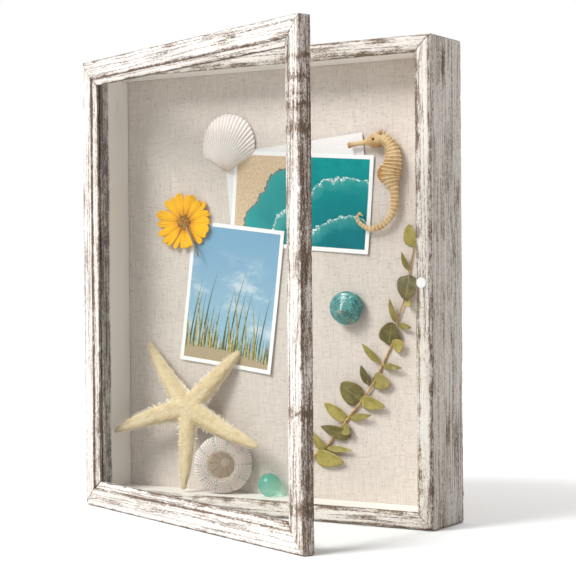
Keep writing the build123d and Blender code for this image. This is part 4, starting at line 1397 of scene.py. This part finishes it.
def smooth_line(marks, count):
    """Evenly spaced points on a smooth line through marks, whose numbers are all carried along."""
    dense = []
    last = len(marks) - 1
    for index in range(last):
        p0, p1, p2, p3 = (np.array(marks[min(max(index + step, 0), last)]) for step in (-1, 0, 1, 2))
        for share in np.linspace(0, 1, 24, endpoint=False):
            a = 2 * p1 + (p2 - p0) * share + (2 * p0 - 5 * p1 + 4 * p2 - p3) * share ** 2
            dense.append((a + (3 * p1 - p0 - 3 * p2 + p3) * share ** 3) / 2)
    dense.append(np.array(marks[-1], dtype=float))
    steps = [math.dist(a[:2], b[:2]) for a, b in zip(dense, dense[1:])]
    marks_at = np.concatenate([[0], np.cumsum(steps)])
    wanted = np.linspace(0, marks_at[-1], count)
    table = np.array(dense)
    return np.stack([np.interp(wanted, marks_at, column) for column in table.T], axis=1)


spine_steps = 600
spine_line = smooth_line(spine_marks, spine_steps + 1)
ring_count = 40
ring_crowding = 0.86


def seahorse_spot(u, v):
    """A point on the body: u round it and v from the neck to the tail's tip."""
    step = min(int(v * spine_steps), spine_steps - 1)
    share = v * spine_steps - step
    here = spine_line[step] * (1 - share) + spine_line[step + 1] * share
    ahead = spine_line[min(step + 3, spine_steps)] - spine_line[max(step - 3, 0)]
    side = np.array((-ahead[1], ahead[0])) / math.hypot(ahead[0], ahead[1])
    ring = math.cos(v ** ring_crowding * ring_count * math.tau)
    around = u * math.tau
    facets = abs(math.cos(around * 3.5))
    half = here[2] * (0.87 + 0.13 * max(0.0, ring) ** 2 + 0.05 * facets)
    half += 0.34 * max(0.0, ring) ** 6 * facets ** 6 * min(1.0, here[2] / 3)
    if v > 0.992:
        half *= math.sqrt(max(0.0, 1 - ((v - 0.992) / 0.008) ** 2))
    proud = max(0.12, seahorse_proud + half * 0.62 * math.sin(around))
    across, up = here[:2] + side * half * math.cos(around)
    return on_board(across, up, proud)


body_grid = pulled_grid("seahorse", 42, 420, seahorse_spot, merge=0.000005)
edit_all(body_grid, closed, outward)
ring_marks = np.zeros(len(body_grid.data.vertices))
for loop, corner in zip(body_grid.data.loops, body_grid.data.uv_layers.active.data):
    ring = math.cos(corner.uv.y ** ring_crowding * ring_count * math.tau)
    ring_marks[loop.vertex_index] = 0.5 + 0.5 * ring
mark(body_grid, "ring", ring_marks)

head_at = Vector((252.5, 292.0))
snout_to = Vector((225.6, 289.2))
head_way = (snout_to - head_at).normalized()
head_side = Vector((-head_way.y, head_way.x))
head_marks = (
    (-6.0, 0.05), (-5.4, 2.4), (-3.5, 4.6), (0.0, 5.9), (3.5, 5.6), (6.5, 4.3), (9.0, 2.9), (12.0, 2.2),
    (17.0, 1.8), (22.0, 1.75), (25.2, 2.1), (26.6, 2.7), (27.0, 2.3), (26.4, 0.9), (25.9, 0.02),
)


def head_spot(u, v):
    """A point on the head: u round it and v from its back to inside the mouth."""
    place_at = v * (len(head_marks) - 1)
    step = min(int(place_at), len(head_marks) - 2)
    share = place_at - step
    share = share * share * (3 - 2 * share) * 0.4 + share * 0.6
    out = head_marks[step][0] * (1 - share) + head_marks[step + 1][0] * share
    half = head_marks[step][1] * (1 - share) + head_marks[step + 1][1] * share
    around = u * math.tau
    centre = head_at + head_way * out + head_side * half * math.cos(around)
    ridges = 1 + 0.05 * math.cos(around * 4)
    return on_board(centre.x, centre.y, max(0.15, seahorse_proud + half * 0.74 * ridges * math.sin(around)))


head = pulled_grid("head", 32, 84, head_spot, merge=0.000005)
edit_all(head, outward)

crown_spikes = []
spike = added(cone, vertices=9, radius1=1.5 * MM, radius2=0.25 * MM, depth=5.0 * MM)
for across, up, proud, lean_x, lean_z, size in (
    (254.5, 298.2, 5.3, -0.1, 1.0, 1.15), (256.8, 298.6, 6.3, 0.25, 1.0, 1.0),
    (252.4, 298.0, 6.2, -0.45, 1.0, 0.85), (258.6, 297.6, 5.0, 0.6, 0.9, 0.85),
    (255.5, 298.4, 7.4, 0.1, 0.8, 0.7), (249.0, 297.0, 6.4, -0.5, 1.0, 0.5),
    (262.8, 293.6, 6.0, 0.9, 0.6, 0.6), (266.0, 289.6, 6.0, 1.0, 0.35, 0.55),
    (247.5, 286.6, 6.8, -0.4, -1.0, 0.5),
):
    crown_spikes.append(stood(on_board(across, up, proud), Vector((lean_x, -0.15, lean_z)), size))
crown = repeated("crown", spike, crown_spikes)


def fin_spot(u, v):
    """A point on the back fin: u along its root and v outwards."""
    root_z = 258.0 + 14.0 * u
    root_x = 257.2 - 1.2 * math.sin(math.pi * u)
    out = (4.6 * math.sin(math.pi * (0.12 + 0.76 * u)) + 0.25 * math.cos(u * 60)) * v
    return on_board(root_x - out, root_z, seahorse_proud - 0.6 + 0.25 * math.cos(u * 60))


fin = pulled_grid("fin", 60, 8, fin_spot)
modified(fin, "SOLIDIFY", thickness=0.35 * MM, offset=0)
eye_at = (250.6, 292.8)
eye_ball = added(ball, segments=20, ring_count=12, radius=1.25 * MM, location=on_board(*eye_at, 9.2))
eye_ring = added(
    bpy.ops.mesh.primitive_torus_add, major_radius=1.45 * MM, minor_radius=0.4 * MM, major_segments=24,
    minor_segments=8, location=on_board(*eye_at, 9.35), rotation=(math.pi / 2, 0, 0),
)
seahorse = joined("seahorse", [body_grid, head, crown, fin, eye_ring])

seahorse_skin, tree, shader = new_material("Seahorse skin", Roughness=0.6, Specular_IOR_Level=0.35)
place = place_on(tree)
blotch = place.clouds(95, detail=4, roughness=0.6)
grit = place.clouds(900, detail=4, roughness=0.7)
tone = blotch.band(0.38, 0.66).mix((0.6, 0.42, 0.2), (0.44, 0.25, 0.09))
ring = attribute(tree, "ring")
across, _, up = place.parts()
belly_at = on_board(262.0, 270.0)
belly_x = belly_at.x - across
belly_z = abs(up - belly_at.z)
belly = belly_x.band(-0.001, 0.004) * belly_z.band(0.02, 0.008)
tone = (belly * 0.7).mix(tone, (0.46, 0.2, 0.04))
tone = ring.band(0.45, 0.95, 0.0, 0.6).mix(tone, (0.76, 0.62, 0.38))
tone = grit.band(0.52, 0.72, 0.0, 0.55).mix(tone, (0.9, 0.8, 0.62))
feed(shader, tone, None, grit, 0.00025)
settle(seahorse, "seahorse_ringed", seahorse_skin, ("seahorse",))
eye_gloss, tree, shader = new_material("Seahorse eye", Roughness=0.15, Coat_Weight=0.5)
ring_tone = place_on(tree).clouds(1200, detail=2)
tone = ring_tone.band(0.4, 0.6).mix((0.02, 0.012, 0.008), (0.06, 0.035, 0.02))
feed(shader, tone)
settle(eye_ball, "seahorse_eye", eye_gloss)

# %% [markdown]
# ## Eucalyptus sprig
#
# The sprig is dried flat, with leaves in pairs. Each leaf was measured by its base, its tip and its
# width, so each is its own grid: pointed or round, creased along its midrib and lifted off the linen by
# its own amount. The stem is a tapered rod that thickens towards its cut end.

# %% Shape the leaves and the stem
leaves = (
    ((284.8, 206.2), (284.0, 224.1), 5.6, 1.0, 3.5, 0.1), ((281.3, 186.9), (277.3, 202.4), 2.4, 0.2, 4.0, 0.5),
    ((282.3, 183.9), (280.1, 163.9), 8.4, 1.0, 3.2, 1.0), ((279.4, 163.9), (285.5, 159.0), 2.6, 0.3, 4.5, 0.0),
    ((270.0, 144.4), (266.4, 165.4), 2.7, 0.2, 5.0, 0.4), ((271.7, 143.8), (286.0, 142.1), 2.6, 0.2, 4.2, 0.5),
    ((263.3, 127.9), (268.4, 146.0), 8.2, 1.0, 3.6, 0.9), ((267.5, 124.9), (278.4, 130.6), 5.2, 0.8, 4.5, 0.0),
    ((255.3, 112.4), (241.9, 128.7), 3.0, 0.3, 5.5, 0.3), ((255.8, 111.3), (277.3, 109.7), 2.7, 0.2, 3.8, 0.5),
    ((245.2, 94.5), (239.9, 111.1), 3.4, 0.4, 5.0, 0.9), ((248.3, 99.9), (266.0, 96.3), 6.2, 0.9, 3.0, 0.4),
    ((237.2, 83.0), (219.9, 95.4), 8.6, 1.0, 3.4, 0.8), ((235.4, 82.2), (261.6, 78.5), 5.2, 0.6, 4.0, 0.2),
    ((223.7, 65.1), (206.0, 79.8), 4.8, 0.5, 4.8, 0.0), ((225.9, 67.1), (249.3, 71.1), 3.0, 0.3, 3.6, 0.4),
    ((227.8, 51.9), (201.4, 60.0), 5.0, 0.6, 3.0, 0.8), ((220.1, 61.0), (229.4, 55.2), 4.4, 0.8, 4.0, 0.5),
    ((204.1, 37.6), (192.9, 55.9), 3.6, 0.4, 5.0, 0.2), ((203.3, 42.2), (230.6, 41.5), 2.6, 0.2, 3.4, 0.3),
    ((192.8, 34.6), (222.7, 32.0), 6.4, 0.8, 3.2, 0.1),
)
sprig_shift = -4.0
random.seed(3)
leaf_pieces = []
for (base_x, base_z), (tip_x, tip_z), half, roundness, lift, darkness in leaves:
    half *= 1.0 + 0.14 * roundness
    length = math.hypot(tip_x - base_x, tip_z - base_z)
    way = ((tip_x - base_x) / length, (tip_z - base_z) / length)
    roll = random.uniform(-0.5, 0.5)
    droop = random.uniform(-0.6, 1.0)

    def leaf_spot(u, v):
        """A point on this leaf: u across it and v from its stalk to its tip."""
        side = u * 2 - 1
        fullness = 0.55 + 0.2 * (1 - roundness)
        blade = max(0.0, (v - 0.05) / 0.95)
        swelling = math.sin(math.pi * blade ** fullness) ** (0.48 + 0.4 * (1 - roundness)) if blade > 0 else 0
        width = max(half * swelling, 0.35 * (1 - v))
        rise = 1.3 + lift * math.sin(math.pi * 0.5 * v) + droop * v * v
        rise += 0.10 * half * abs(side) ** 1.5 * math.sin(math.pi * blade)
        rise += roll * side * half * 0.35 + 0.12 * math.sin(v * 17 + side * 3)
        x = base_x + sprig_shift + way[0] * length * v - way[1] * side * width
        z = base_z + way[1] * length * v + way[0] * side * width
        return on_board(x, z, max(0.5, rise))

    leaf = pulled_grid("leaf", 12, 18, leaf_spot)
    mark(leaf, "shade", np.full(len(leaf.data.vertices), darkness))
    leaf_pieces.append(leaf)
foliage = joined("leaves", leaf_pieces)
modified(foliage, "SOLIDIFY", thickness=0.3 * MM, offset=0)

leaf_skin, tree, shader = new_material("Dried leaves", Roughness=0.55, Specular_IOR_Level=0.35)
shade = attribute(tree, "shade")
side_share, length_share, _ = place_on(tree, "UV").parts()
off_middle = abs(side_share - 0.5)
place = place_on(tree)
dapple = place.clouds(160, detail=4, roughness=0.6)
fine = place.clouds(1100, detail=3)
dappled = dapple.band(0.35, 0.65)
light_leaf = dappled.mix((0.33, 0.27, 0.055), (0.46, 0.38, 0.11))
dark_leaf = dappled.mix((0.055, 0.05, 0.016), (0.13, 0.11, 0.032))
tone = shade.mix(light_leaf, dark_leaf)
midrib = off_middle.band(0.035, 0.0)
tone = (midrib * 0.35).mix(tone, (0.5, 0.44, 0.2))
rim = off_middle.band(0.44, 0.5)
tone = (rim * 0.4).mix(tone, (0.4, 0.24, 0.08))
veins = (length_share * 70.0 + off_middle * -40.0).math("SINE")
tone = veins.band(0.6, 1.0, 0.0, 0.12).mix(tone, (0.66, 0.62, 0.36))
feed(shader, tone, None, fine + midrib * 0.8, 0.00015)
settle(foliage, "eucalyptus_leaves", leaf_skin, ("eucalyptus_sprig",))

sprig_line = (
    (182.8, 27.0), (192.5, 34.8), (203.8, 42.5), (214.2, 54.3), (226.5, 69.0), (236.5, 80.0), (246.0, 92.0),
    (252.2, 101.5), (257.3, 112.0), (265.5, 128.0), (269.2, 142.0), (278.5, 167.0), (282.3, 186.5),
    (285.3, 202.0), (286.2, 214.0),
)
sprig_points = []
for index, (x, z) in enumerate(sprig_line):
    sprig_points.append(on_board(x + sprig_shift, z, 1.5 + 0.5 * math.sin(index * 1.3)))
sprig_stem = bent_rod("sprig", sprig_points, 1.15 * MM, 0.45)
stem_bark, tree, shader = new_material("Sprig bark", Roughness=0.55)
fibres = place_on(tree).stretched((900, 900, 200)).clouds(detail=4)
tone = fibres.band(0.35, 0.65).mix((0.36, 0.19, 0.07), (0.62, 0.4, 0.16))
feed(shader, tone, None, fibres, 0.0001)
settle(sprig_stem, "eucalyptus_stem", stem_bark)

# %% [markdown]
# ## Sea glass
#
# The ball is old tumbled glass: not quite round and frosted. It is painted lighter at its lower right,
# a painted glow where light through it would gather. Light that passes through it would be lost to the
# tracer, so its shadow is tinted by a clear green shader, which is what real glass throws on a wall.

# %% Shape the sea glass ball
ball_low, ball_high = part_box("sea_glass_ball")
ball_middle = (ball_low + ball_high) / 2
ball_radius = (ball_high.x - ball_low.x) / 2
tumbled = added(ball_of_faces, subdivisions=5, radius=ball_radius * 0.985, location=ball_middle)
tumbled.scale = (0.99, 0.99, 1.0)
applied(tumbled)
for vertex in tumbled.data.vertices:
    outward_way = (vertex.co - ball_middle).normalized()
    vertex.co += outward_way * noise.noise(outward_way * 1.6) * 0.22 * MM
    vertex.co.z = max(vertex.co.z, floor_top + 0.02 * MM)
sea_glass, tree, shader = new_material(
    "Sea glass", Transmission_Weight=0.6, Roughness=0.16, IOR=1.3, Base_Color=(0.22, 0.62, 0.5),
)
across, _, up = place_on(tree).away_from(ball_middle).parts()
# Darker at the upper left and lighter at the lower right: a painted glow from light passing through the ball.
painted_glow_slant = across * 0.8 - up
tone = painted_glow_slant.band(-0.006, 0.008).mix((0.14, 0.52, 0.4), (0.46, 0.8, 0.68))
feed(shader, tone)
green_light = node(tree, "ShaderNodeBsdfTransparent", {"Color": (0.4, 0.5, 0.47)})
share_surface(light_path(tree)["Is Shadow Ray"], shader, green_light)
settle(tumbled, "sea_glass_tumbled", sea_glass, ("sea_glass_ball",))

# %% [markdown]
# ## Floor, lamps and world
#
# A pale floor, one soft key from the upper left, a lamp behind that thins the case's long shadow, and a
# white world that fills the rest. The world is plain white to the eye but weaker as a light, and weakest
# from the right, so that the shaded side stays grey.

# %% Lay the floor and light the case
ground = added(bpy.ops.mesh.primitive_plane_add, size=12, location=(0, 0, -0.0004))
ground.name = "ground"
ground_paint, tree, shader = new_material("Pale floor", Roughness=0.9, Specular_IOR_Level=0.1)
dust = place_on(tree).clouds(3, detail=2)
tone = dust.band(0.3, 0.7).mix((0.94, 0.94, 0.94), (0.96, 0.96, 0.96))
bounce = light_path(tree)["Is Diffuse Ray"] * 0.6
tone = bounce.mix(tone, (0.52, 0.49, 0.46))
feed(shader, tone)
ground.data.materials.append(ground_paint)

world = bpy.data.worlds.new("Studio")
bpy.context.scene.world = world
world.use_nodes = True
tree = world.node_tree
backdrop = tree.nodes["Background"]
put(backdrop.inputs["Color"], (1, 1, 1))
rays = light_path(tree)
seen = rays["Is Camera Ray"].math("MAXIMUM", rays["Is Transmission Ray"])
seen = seen.math("MAXIMUM", rays["Is Glossy Ray"])
way = place_on(tree, "Generated").parts()
fill = way[0].band(-1.0, 1.0, 0.9, 0.2)
put(backdrop.inputs["Strength"], seen.math("MAXIMUM", fill))
key_place = Vector((-0.60, -1.05, 1.12))
key = added(bpy.ops.object.light_add, type="SUN", location=key_place)
key.name = "Key"
key.data.energy = 2.8
key.data.angle = math.radians(26)
key.rotation_euler = (-key_place).to_track_quat("-Z", "Y").to_euler()
back_lamp = added(bpy.ops.object.light_add, type="AREA", location=(0.12, 1.5, 1.3))
back_lamp.name = "Back_lamp"
back_lamp.data.size = 1.0
back_lamp.data.energy = 16
back_aim = Vector((0.38, 0.15, 0.0)) - back_lamp.location
back_lamp.rotation_euler = back_aim.to_track_quat("-Z", "Y").to_euler()
print("lights placed")
